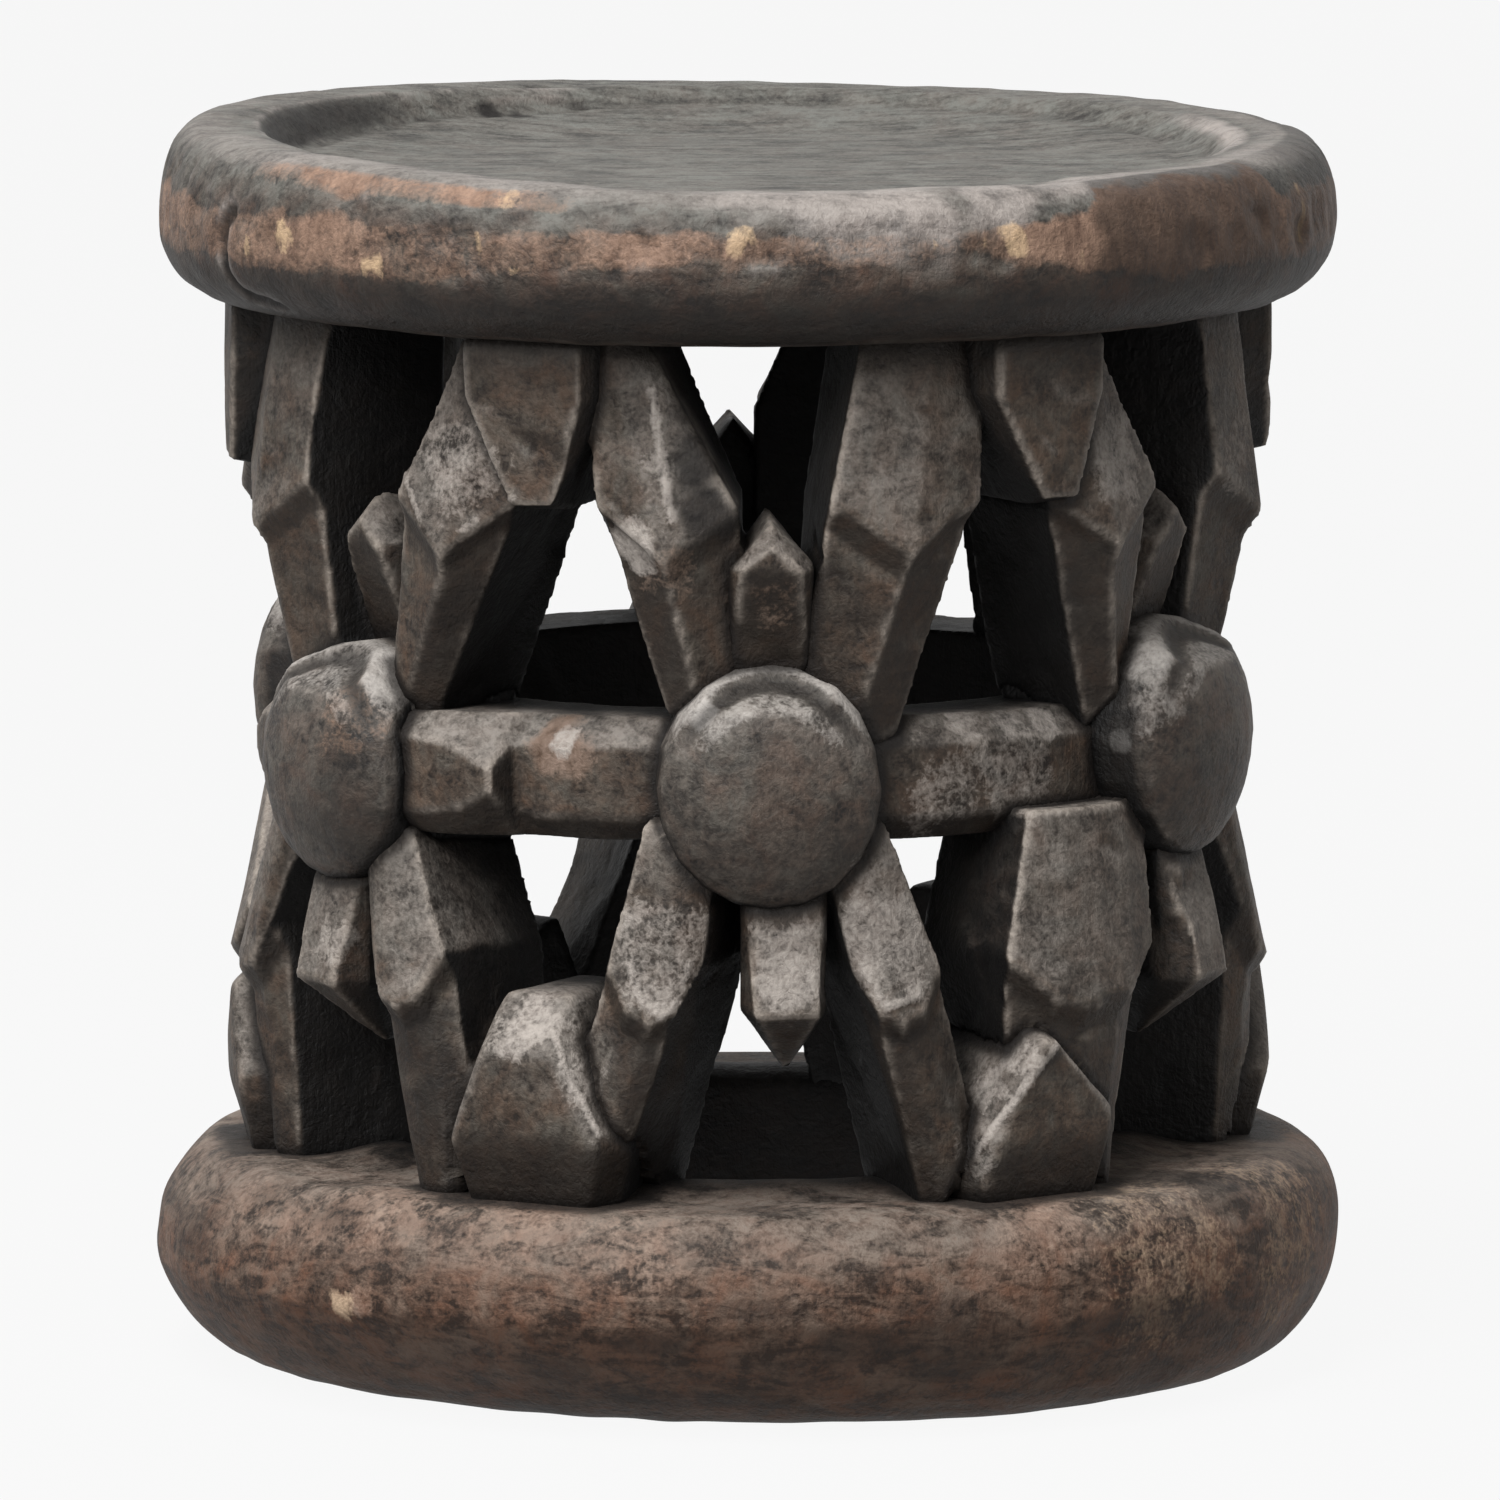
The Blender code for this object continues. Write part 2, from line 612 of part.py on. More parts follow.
def knob_mesh(name, angle, upper, tooth):
    """A faceted tooth between two spiders, hanging from the seat or standing on the base."""
    width = TOP_KNOB_WIDTH if upper else BOTTOM_KNOB_WIDTH
    face = TOP_KNOB_FACE if upper else BOTTOM_KNOB_FACE
    half_tip = tooth.tip / 2
    reach = tooth.reach_share * (UPPER_SPACE if upper else LOWER_SPACE)
    plane = SEAT_UNDERSIDE - JOINT_GAP if upper else BASE_THICKNESS + JOINT_GAP
    sign = -1.0 if upper else 1.0
    outlines = [
        (width / 2, reach, HOLLOW_RADIUS + WALL_INSET),
        (width / 2, reach, BLOCK_RADIUS - KNOB_EDGE_SETBACK),
        (face / 2, tooth.face_share * reach, BLOCK_RADIUS),
    ]
    points = []
    for half, peak, radius in outlines:
        outline = [
            (-half, -SEAM_OVERLAP),
            (half, -SEAM_OVERLAP),
            (-half, tooth.left_shoulder),
            (half, tooth.right_shoulder),
            (tooth.lean - half_tip, peak),
            (tooth.lean + half_tip, peak),
        ]
        for side, along in outline:
            points.append(wall_point(angle + arc_angle(side), plane + sign * along, radius))
    mesh = gem_mesh(name, points)
    return saw(mesh, Vector((0.0, 0.0, plane)), Vector((0.0, 0.0, -sign)))


def build_spider(shop, number, dark, worn):
    """Carve one spider: body, head, tail and four bent legs."""
    angle = spider_angle(number)
    layout = spider_layout(number)
    label = "spider_" + str(number)
    before = str((number - 2) % SPIDER_COUNT + 1)
    body = label + "_body"
    head = label + "_head"
    tail = label + "_tail"
    shop.add(body, body_mesh(body, angle, layout.body_lift), worn, cut_by=["middle_band"], smooth=True)
    shop.add(head, head_mesh(head, angle, layout.head_setback), dark, cut_by=["middle_band", body])
    shop.add(tail, tail_mesh(tail, angle + layout.tail_turn), dark, cut_by=["middle_band", body])
    sides = {"left": before, "right": str(number)}
    for side, knob in sides.items():
        for level, post, tooth in (("upper", head, "top_knob_"), ("lower", tail, "bottom_knob_")):
            name = "_".join((label, level, side, "leg"))
            leg = getattr(layout, level + "_" + side)
            mesh = leg_mesh(name, angle, leg, level == "upper")
            shop.add(name, mesh, dark, cut_by=["middle_band", body, post, tooth + knob])


def build():
    """Carve the stool."""
    clear_scene()
    shop = Workshop()
    seat_wood = wood("seat_wood", (0.070, 0.056, 0.047), 0.62)
    base_wood = wood("base_wood", (0.098, 0.067, 0.052), 0.68)
    dark_wood = wood("openwork_wood", (0.045, 0.037, 0.033), 0.66)
    body_wood = wood("body_wood", (0.057, 0.047, 0.042), 0.58)
    shop.add("seat", seat_mesh(), seat_wood, smooth=True)
    shop.add("base", base_mesh(), base_wood, smooth=True)
    shop.add("middle_band", band_mesh(), dark_wood)
    for number in range(1, SPIDER_COUNT + 1):
        gap_angle = FRONT_ANGLE + (number - 0.5) * SPIDER_PITCH + KNOB_SHIFT_ANGLE
        layout = spider_layout(number)
        gap_angle += layout.knob_turn
        top = "top_knob_" + str(number)
        bottom = "bottom_knob_" + str(number)
        shop.add(top, knob_mesh(top, gap_angle, True, HANGING_TOOTH), dark_wood)
        shop.add(bottom, knob_mesh(bottom, gap_angle, False, layout.bottom_tooth), dark_wood)
    for number in range(1, SPIDER_COUNT + 1):
        build_spider(shop, number, dark_wood, body_wood)


build()
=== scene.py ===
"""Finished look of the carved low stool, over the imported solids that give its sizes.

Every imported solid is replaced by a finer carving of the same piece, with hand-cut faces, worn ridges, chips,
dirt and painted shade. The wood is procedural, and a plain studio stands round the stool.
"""

import logging
import math
from dataclasses import dataclass
from enum import Enum

import bmesh
import bpy
import numpy as np
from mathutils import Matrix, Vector
from mathutils.bvhtree import BVHTree
from mathutils.kdtree import KDTree


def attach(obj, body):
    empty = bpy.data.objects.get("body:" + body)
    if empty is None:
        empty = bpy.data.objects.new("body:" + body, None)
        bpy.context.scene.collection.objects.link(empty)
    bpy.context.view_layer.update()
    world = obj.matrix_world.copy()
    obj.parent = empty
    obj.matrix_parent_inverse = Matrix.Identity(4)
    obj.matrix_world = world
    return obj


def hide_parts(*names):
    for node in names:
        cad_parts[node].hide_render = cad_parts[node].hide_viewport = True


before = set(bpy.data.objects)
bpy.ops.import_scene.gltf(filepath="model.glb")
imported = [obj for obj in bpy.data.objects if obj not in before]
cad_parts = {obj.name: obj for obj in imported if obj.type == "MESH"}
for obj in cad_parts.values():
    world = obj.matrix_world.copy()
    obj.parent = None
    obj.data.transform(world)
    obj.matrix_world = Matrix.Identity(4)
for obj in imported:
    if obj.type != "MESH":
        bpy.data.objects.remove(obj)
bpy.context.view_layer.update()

LOG = logging.getLogger("stool")
SHARP_TURN = math.radians(14.0)
FINE_VOXEL = 0.0017
BODY_HALF_WIDTH = 0.0335

Array = np.ndarray
Colour = tuple[float, float, float, float]


def shade(red: int, green: int, blue: int) -> Colour:
    """Turns a display colour into the linear colour that materials use.

    Args:
        red: display red, 0 to 255.
        green: display green, 0 to 255.
        blue: display blue, 0 to 255.

    Returns:
        The linear colour with full alpha.
    """
    linear = [((level / 255 + 0.055) / 1.055) ** 2.4 if level > 10 else level / 3295 for level in (red, green, blue)]
    return (linear[0], linear[1], linear[2], 1.0)


def lattice_noise(points: Array, scale: float, seed: int) -> Array:
    """Smooth random values in space, the same for the same seed.

    Args:
        points: places, one per row, in metres.
        scale: distance over which the values change, in metres.
        seed: which of the random fields to read.

    Returns:
        One value from -1 to 1 for each place.
    """
    cells = points / scale
    base = np.floor(cells).astype(np.int64)
    part = cells - base
    ease = part * part * (3.0 - 2.0 * part)
    total = np.zeros(len(points))
    for corner in range(8):
        step = np.array([corner & 1, corner >> 1 & 1, corner >> 2 & 1])
        key = base + step
        mixed = key[:, 0] * 73856093 ^ key[:, 1] * 19349663 ^ key[:, 2] * 83492791 ^ seed * 2654435761
        mixed = (mixed ^ (mixed >> 13)) * 1274126177
        value = ((mixed ^ (mixed >> 16)) & 0xFFFF) / 32767.5 - 1.0
        total += np.prod(np.where(step == 1, ease, 1.0 - ease), axis=1) * value
    return total


def ramp(values: Array, start: float, end: float) -> Array:
    """Eases values from 0 at a start to 1 at an end.

    Args:
        values: the numbers to ease.
        start: where the result is 0.
        end: where the result is 1.

    Returns:
        The eased numbers, from 0 to 1.
    """
    part = np.clip((values - start) / (end - start), 0.0, 1.0)
    return part * part * (3.0 - 2.0 * part)


class Mask(Enum):
    """Painted masks that the carvings hand to the wood."""

    WEAR = "wear"
    # painted shade in hollows and beside neighbouring pieces
    CREASE = "hollow_shade"
    SCUFF = "scuff"
    PALE = "pale"
    # real stains and the crack, plus painted shade under the seat, on the lower rim, in the dish and where parts meet
    STAIN_AND_SHADE = "stain_and_shade"


@dataclass(frozen=True)
class Knife:
    """How a piece is cut by hand.

    Attributes:
        count: number of cuts.
        reach: radius of one cut in metres.
        depth: depth of one cut in metres.
        tilt: how far a cut leans off the surface.
    """

    count: int
    reach: float
    depth: float
    tilt: float


@dataclass(frozen=True)
class Spot:
    """A painted patch on a piece.

    Attributes:
        centre: middle of the patch in metres.
        radius: its radius in metres.
        mask: which mask it is painted in.
        strength: how strong it is, 0 to 1.
    """

    centre: tuple[float, float, float]
    radius: float
    mask: Mask
    strength: float


@dataclass(frozen=True)
class Ridge:
    """A thin line that stands out of a face and is rubbed pale.

    Attributes:
        path: places along it, in metres.
        strength: how pale it is, 0 to 1.
    """

    path: tuple[tuple[float, float, float], ...]
    strength: float


class Carving:
    """One carved piece: a mesh with its points as an array, and its painted masks."""

    def __init__(self, mesh: bpy.types.Mesh) -> None:
        """Reads the mesh.

        Args:
            mesh: a mesh that this carving may change.
        """
        self.mesh = mesh
        flat = np.empty(len(mesh.vertices) * 3, dtype=np.float32)
        mesh.vertices.foreach_get("co", flat)
        self.points = flat.reshape(-1, 3).astype(np.float64)
        ends = np.empty(len(mesh.edges) * 2, dtype=np.int32)
        mesh.edges.foreach_get("vertices", ends)
        self.first = ends[0::2].astype(np.int64)
        self.second = ends[1::2].astype(np.int64)
        self.degree = np.maximum(np.bincount(ends, minlength=len(self.points)), 1).astype(np.float64)
        self.sharp = np.zeros(len(self.points), dtype=bool)
        self.masks = {mask: np.zeros(len(self.points)) for mask in Mask}

    @classmethod
    def turned(cls, name: str, profile: Array, steps: int, closed: bool) -> "Carving":
        """Turns a profile round the Z axis.

        Args:
            name: name of the new mesh.
            profile: radius and height, one row per ring.
            steps: number of points in a ring.
            closed: True if the last ring joins the first, False if both ends meet the axis.

        Returns:
            The carving.
        """
        angles = np.linspace(0.0, math.tau, steps, endpoint=False)
        ring = np.stack([np.sin(angles), -np.cos(angles)], axis=1)
        points = [np.column_stack([radius * ring, np.full(steps, height)]) for radius, height in profile]
        verts = np.concatenate(points)
        rows = len(profile)
        faces: list[list[int]] = []
        for row in range(rows if closed else rows - 1):
            low = row * steps
            high = (row + 1) % rows * steps
            for column in range(steps):
                after = (column + 1) % steps
                faces.append([low + column, high + column, high + after, low + after])
        if not closed:
            ends = np.array([[0.0, 0.0, profile[0, 1]], [0.0, 0.0, profile[-1, 1]]])
            start = len(verts)
            verts = np.concatenate([verts, ends])
            last = (rows - 1) * steps
            for column in range(steps):
                after = (column + 1) % steps
                faces.append([start, column, after])
                faces.append([start + 1, last + after, last + column])
        mesh = bpy.data.meshes.new(name)
        mesh.from_pydata(verts.tolist(), [], faces)
        mesh.update()
        return cls(mesh)

    def normals(self) -> Array:
        """Writes the points back and reads the normals.

        Returns:
            One unit normal per point.
        """
        self.mesh.vertices.foreach_set("co", self.points.astype(np.float32).ravel())
        self.mesh.update()
        flat = np.empty(len(self.points) * 3, dtype=np.float32)
        self.mesh.vertex_normals.foreach_get("vector", flat)
        return flat.reshape(-1, 3).astype(np.float64)

    def mean(self, values: Array) -> Array:
        """Averages each point's neighbours.

        Args:
            values: one row per point.

        Returns:
            The averages, one row per point.
        """
        size = len(self.points)
        columns = []
        for column in values.T:
            total = np.bincount(self.first, weights=column[self.second], minlength=size)
            total += np.bincount(self.second, weights=column[self.first], minlength=size)
            columns.append(total / self.degree)
        return np.stack(columns, axis=1)

    def reach(self) -> Array:
        """Distances of the points from the stool's axis.

        Returns:
            One distance per point, in metres.
        """
        return np.hypot(self.points[:, 0], self.points[:, 1])

    def angle(self) -> Array:
        """Angles of the points round the stool: 0 at the front, growing towards +X.

        Returns:
            One angle per point, in degrees from -180 to 180.
        """
        return np.degrees(np.arctan2(self.points[:, 0], -self.points[:, 1]))

    def swell(self, amount: float) -> None:
        """Moves every point out along its normal.

        Args:
            amount: how far, in metres.
        """
        self.points += self.normals() * amount

    def relax(self, share: float, rounds: int) -> None:
        """Softens the surface.

        Args:
            share: how far each point moves towards its neighbours, 0 to 1.
            rounds: how many times.
        """
        for _ in range(rounds):
            self.points += share * (self.mean(self.points) - self.points)

    def hug(self, solid: bpy.types.Mesh, share: float) -> None:
        """Pulls the points back towards a solid's faces.

        Args:
            solid: the mesh to come close to.
            share: how far each point moves, 0 to 1.
        """
        corners = [vertex.co.copy() for vertex in solid.vertices]
        tree = BVHTree.FromPolygons(corners, [list(polygon.vertices) for polygon in solid.polygons])
        near = np.array([tree.find_nearest(Vector(point))[0] for point in self.points.tolist()])
        self.points += share * (near - self.points)

    def crisp(self, solid: bpy.types.Mesh, reach: float, share: float) -> None:
        """Pulls the points next to a solid's sharp edges on to them, so that the facets meet in a line.

        Args:
            solid: the mesh whose edges count.
            reach: how near an edge a point must be, in metres.
            share: how far each point moves, 0 to 1.
        """
        shape = bmesh.new()
        shape.from_mesh(solid)
        marks: list[Vector] = []
        for edge in shape.edges:
            if edge.calc_face_angle(0.0) > SHARP_TURN:
                start, end = edge.verts[0].co, edge.verts[1].co
                count = max(2, round((end - start).length / (reach * 0.3)))
                marks += [start.lerp(end, index / count) for index in range(count + 1)]
        shape.free()
        tree = KDTree(len(self.points))
        for index, point in enumerate(self.points.tolist()):
            tree.insert(point, index)
        tree.balance()
        nearest: dict[int, tuple[float, Vector]] = {}
        for mark in marks:
            _, index, distance = tree.find(mark)
            if distance < nearest.get(index, (reach, mark))[0]:
                nearest[index] = (distance, mark)
        self.sharp[:] = False
        for index, (_, mark) in nearest.items():
            self.sharp[index] = True
            self.points[index] += share * (np.array(mark) - self.points[index])

    def split(self) -> None:
        """Splits the faces that a sharp edge crosses from corner to corner, along that edge."""
        shape = bmesh.new()
        shape.from_mesh(self.mesh)
        for face in list(shape.faces):
            corners = list(face.verts)
            if len(corners) == 4:
                on_edge = [bool(self.sharp[corner.index]) for corner in corners]
                if on_edge == [True, False, True, False]:
                    bmesh.utils.face_split(face, corners[0], corners[2])
                elif on_edge == [False, True, False, True]:
                    bmesh.utils.face_split(face, corners[1], corners[3])
        shape.to_mesh(self.mesh)
        shape.free()

    def sway(self, scale: float, amount: float, seed: int) -> None:
        """Bends the piece along one field that all the openwork shares, still at the seat and the base.

        Args:
            scale: distance over which the bend changes, in metres.
            amount: the largest move, in metres.
            seed: which random field is used.
        """
        heights = self.points[:, 2]
        hold = ramp(heights, 0.066, 0.095) * (1.0 - ramp(heights, 0.297, 0.326))
        moves = [lattice_noise(self.points, scale, seed + axis) for axis in range(3)]
        self.points += np.stack(moves, axis=1) * (amount * hold)[:, None]

    def ripple(self, scale: float, amount: float, seed: int) -> None:
        """Makes the surface uneven.

        Args:
            scale: width of the bumps in metres.
            amount: their height in metres.
            seed: which random field is used.
        """
        self.points += self.normals() * (amount * lattice_noise(self.points, scale, seed))[:, None]

    def cut(self, knife: Knife, seed: int, where: Array | None = None) -> None:
        """Takes flat shallow cuts out of the surface.

        Args:
            knife: how the cuts are made.
            seed: seed of their places.
            where: True for the points a cut may start from; all of them if left out.
        """
        rng = np.random.default_rng(seed)
        starts = np.arange(len(self.points)) if where is None else np.flatnonzero(where)
        if len(starts) == 0:
            return
        normals = self.normals()
        limit = knife.depth + 2.0 * knife.tilt * knife.reach
        for pick in rng.choice(starts, knife.count):
            lean = normals[pick] + rng.normal(scale=knife.tilt, size=3)
            lean /= np.linalg.norm(lean)
            away = self.points - self.points[pick]
            near = np.flatnonzero(np.einsum("ij,ij->i", away, away) < knife.reach**2)
            height = away[near] @ lean + knife.depth * rng.uniform(0.3, 1.0)
            facing = normals[near] @ lean
            distance = np.linalg.norm(away[near], axis=1) / knife.reach
            fade = np.clip(1.0 - distance**4, 0.0, 1.0)
            fade *= ramp(facing, 0.4, 0.8) * (1.0 - ramp(height, 0.5 * limit, limit))
            self.points[near] -= (np.maximum(height, 0.0) * fade)[:, None] * lean

    def ridge(self, rounds: int) -> Array:
        """How far each point stands out of its surroundings.

        Args:
            rounds: width of the surroundings, in rings of neighbours.

        Returns:
            Heights in metres, negative in hollows.
        """
        smooth = self.points
        for _ in range(rounds):
            smooth = self.mean(smooth)
        return np.einsum("ij,ij->i", self.points - smooth, self.normals())

    def age(self) -> None:
        """Paints the wear of the ridges and painted shade in the hollows."""
        wear = ramp(self.ridge(2), 0.00016, 0.0006)[:, None]
        self.masks[Mask.WEAR] = np.clip(0.7 * wear + 0.5 * self.mean(wear), 0.0, 1.0)[:, 0]
        # painted shade: hollows darken with their depth
        self.masks[Mask.CREASE] = ramp(-self.ridge(5), 0.0002, 0.0016)

    def span(self, path: tuple[tuple[float, float, float], ...]) -> Array:
        """Distances of the points from a line through given places.

        Args:
            path: the places, in metres.

        Returns:
            One distance per point, in metres.
        """
        best = np.full(len(self.points), np.inf)
        for start, end in zip(path, path[1:]):
            origin = np.array(start)
            way = np.array(end) - origin
            share = np.clip((self.points - origin) @ way / (way @ way), 0.0, 1.0)
            best = np.minimum(best, np.linalg.norm(self.points - origin - share[:, None] * way, axis=1))
        return best

    def paint(self, spots: tuple[Spot, ...]) -> None:
        """Paints patches with ragged edges.

        Args:
            spots: the patches.
        """
        for spot in spots:
            away = np.linalg.norm(self.points - np.array(spot.centre), axis=1) / spot.radius
            away += 0.35 * lattice_noise(self.points, spot.radius * 0.45, 71)
            patch = spot.strength * (1.0 - ramp(away, 0.45, 1.0))
            self.masks[spot.mask] = np.maximum(self.masks[spot.mask], patch)

    def line(self, ridges: tuple[Ridge, ...]) -> None:
        """Raises thin ridges and rubs them pale.

        Args:
            ridges: the ridges.
        """
        for ridge in ridges:
            share = 1.0 - ramp(self.span(ridge.path), 0.0007, 0.0024)
            self.points += self.normals() * (0.0005 * share)[:, None]
            self.masks[Mask.PALE] = np.maximum(self.masks[Mask.PALE], ridge.strength * share)

    def show(self, name: str, node: str, material: bpy.types.Material) -> bpy.types.Object:
        """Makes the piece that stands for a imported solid.

        Args:
            name: name of the piece.
            node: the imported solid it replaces.
            material: its wood.

        Returns:
            The piece.
        """
        self.normals()
        self.split()
        self.mesh.name = name
        for mask, values in self.masks.items():
            layer = self.mesh.attributes.new(mask.value, "FLOAT", "POINT")
            layer.data.foreach_set("value", np.clip(values, 0.0, 1.0).astype(np.float32))
        self.mesh.materials.clear()
        self.mesh.materials.append(material)
        self.mesh.shade_smooth()
        piece = bpy.data.objects.new(name, self.mesh)
        bpy.context.scene.collection.objects.link(piece)
        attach(piece, "root")
        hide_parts(node)
        return piece


class Sock:
    """A shader value that takes part in sums like a number."""

    def __init__(self, graph: "Graph", socket: bpy.types.NodeSocket) -> None:
        """Wraps a socket.

        Args:
            graph: the graph the socket belongs to.
            socket: an output socket.
        """
        self.graph = graph
        self.socket = socket

    def __add__(self, other: "Value") -> "Sock":
        """Sum of two values."""
        return self.graph.math("ADD", self, other)

    def __radd__(self, other: "Value") -> "Sock":
        """Sum of two values."""
        return self.graph.math("ADD", other, self)

    def __sub__(self, other: "Value") -> "Sock":
        """Difference of two values."""
        return self.graph.math("SUBTRACT", self, other)

    def __rsub__(self, other: "Value") -> "Sock":
        """Difference of two values."""
        return self.graph.math("SUBTRACT", other, self)

    def __mul__(self, other: "Value") -> "Sock":
        """Product of two values."""
        return self.graph.math("MULTIPLY", self, other)

    def __rmul__(self, other: "Value") -> "Sock":
        """Product of two values."""
        return self.graph.math("MULTIPLY", other, self)

    def __truediv__(self, other: "Value") -> "Sock":
        """Quotient of two values."""
        return self.graph.math("DIVIDE", self, other)

    def __rtruediv__(self, other: "Value") -> "Sock":
        """Quotient of two values."""
        return self.graph.math("DIVIDE", other, self)

    def __neg__(self) -> "Sock":
        """The value with its sign turned."""
        return self.graph.math("MULTIPLY", self, -1.0)

    def __abs__(self) -> "Sock":
        """The value without its sign."""
        return self.graph.math("ABSOLUTE", self)

    def __pow__(self, other: "Value") -> "Sock":
        """The value raised to a power."""
        return self.graph.math("POWER", self, other)

    def eased(self, start: float, end: float) -> "Sock":
        """Eases the value from 0 to 1.

        Args:
            start: where the result is 0.
            end: where the result is 1.

        Returns:
            The eased value.
        """
        settings = {"interpolation_type": "SMOOTHSTEP"}
        return self.graph.node("ShaderNodeMapRange", settings, {0: self, 1: start, 2: end, 3: 0.0, 4: 1.0})

    def clipped(self) -> "Sock":
        """Keeps the value from 0 to 1.

        Returns:
            The clipped value.
        """
        return self.graph.node("ShaderNodeClamp", {}, {0: self, 1: 0.0, 2: 1.0})


Value = Sock | float | Colour


class Graph:
    """A material's or a world's node tree, built from values."""

    def __init__(self, tree: bpy.types.NodeTree) -> None:
        """Empties the tree.

        Args:
            tree: the node tree to fill.
        """
        self.tree = tree
        tree.nodes.clear()

    def node(
        self, kind: str, settings: dict[str, object], sockets: dict[int | str, Value], output: int | str = 0
    ) -> Sock:
        """Adds a node.

        Args:
            kind: the node's type.
            settings: its settings, set before its sockets.
            sockets: values or links of its inputs, by index or name.
            output: which output to return.

        Returns:
            The output.
        """
        made = self.tree.nodes.new(kind)
        for key, value in settings.items():
            setattr(made, key, value)
        for key, value in sockets.items():
            if isinstance(value, Sock):
                self.tree.links.new(value.socket, made.inputs[key])
            else:
                made.inputs[key].default_value = value
        return Sock(self, made.outputs[output] if made.outputs else made.inputs[0])

    def math(self, operation: str, *values: Value) -> Sock:
        """Adds a Math node.

        Args:
            operation: its operation.
            values: its inputs.

        Returns:
            The result.
        """
        return self.node("ShaderNodeMath", {"operation": operation}, dict(enumerate(values)))

    def mix(self, share: Value, first: Value, second: Value) -> Sock:
        """Mixes two colours.

        Args:
            share: how much of the second colour, 0 to 1.
            first: the first colour.
            second: the second colour.

        Returns:
            The mixed colour.
        """
        settings = {"data_type": "RGBA", "clamp_factor": True}
        return self.node("ShaderNodeMix", settings, {0: share, 6: first, 7: second}, 2)

    def scaled(self, vector: Sock, factors: tuple[float, float, float]) -> Sock:
        """Scales a vector along each axis.

        Args:
            vector: the vector.
            factors: its three factors.

        Returns:
            The scaled vector.
        """
        return self.node("ShaderNodeVectorMath", {"operation": "MULTIPLY"}, {0: vector, 1: factors})

    def noise(self, vector: Sock, scale: float, detail: float, roughness: float, warp: float = 0.0) -> Sock:
        """Adds a noise texture.

        Args:
            vector: where it is read.
            scale: its scale per metre.
            detail: its number of octaves.
            roughness: strength of the finer octaves.
            warp: how much it is drawn out of shape.

        Returns:
            The noise, from 0 to 1.
        """
        sockets = {"Vector": vector, "Scale": scale, "Detail": detail, "Roughness": roughness, "Distortion": warp}
        return self.node("ShaderNodeTexNoise", {}, sockets)

    def mask(self, mask: Mask) -> Sock:
        """Reads a painted mask.

        Args:
            mask: which mask.

        Returns:
            Its value.
        """
        return self.node("ShaderNodeAttribute", {"attribute_name": mask.value}, {}, "Fac")


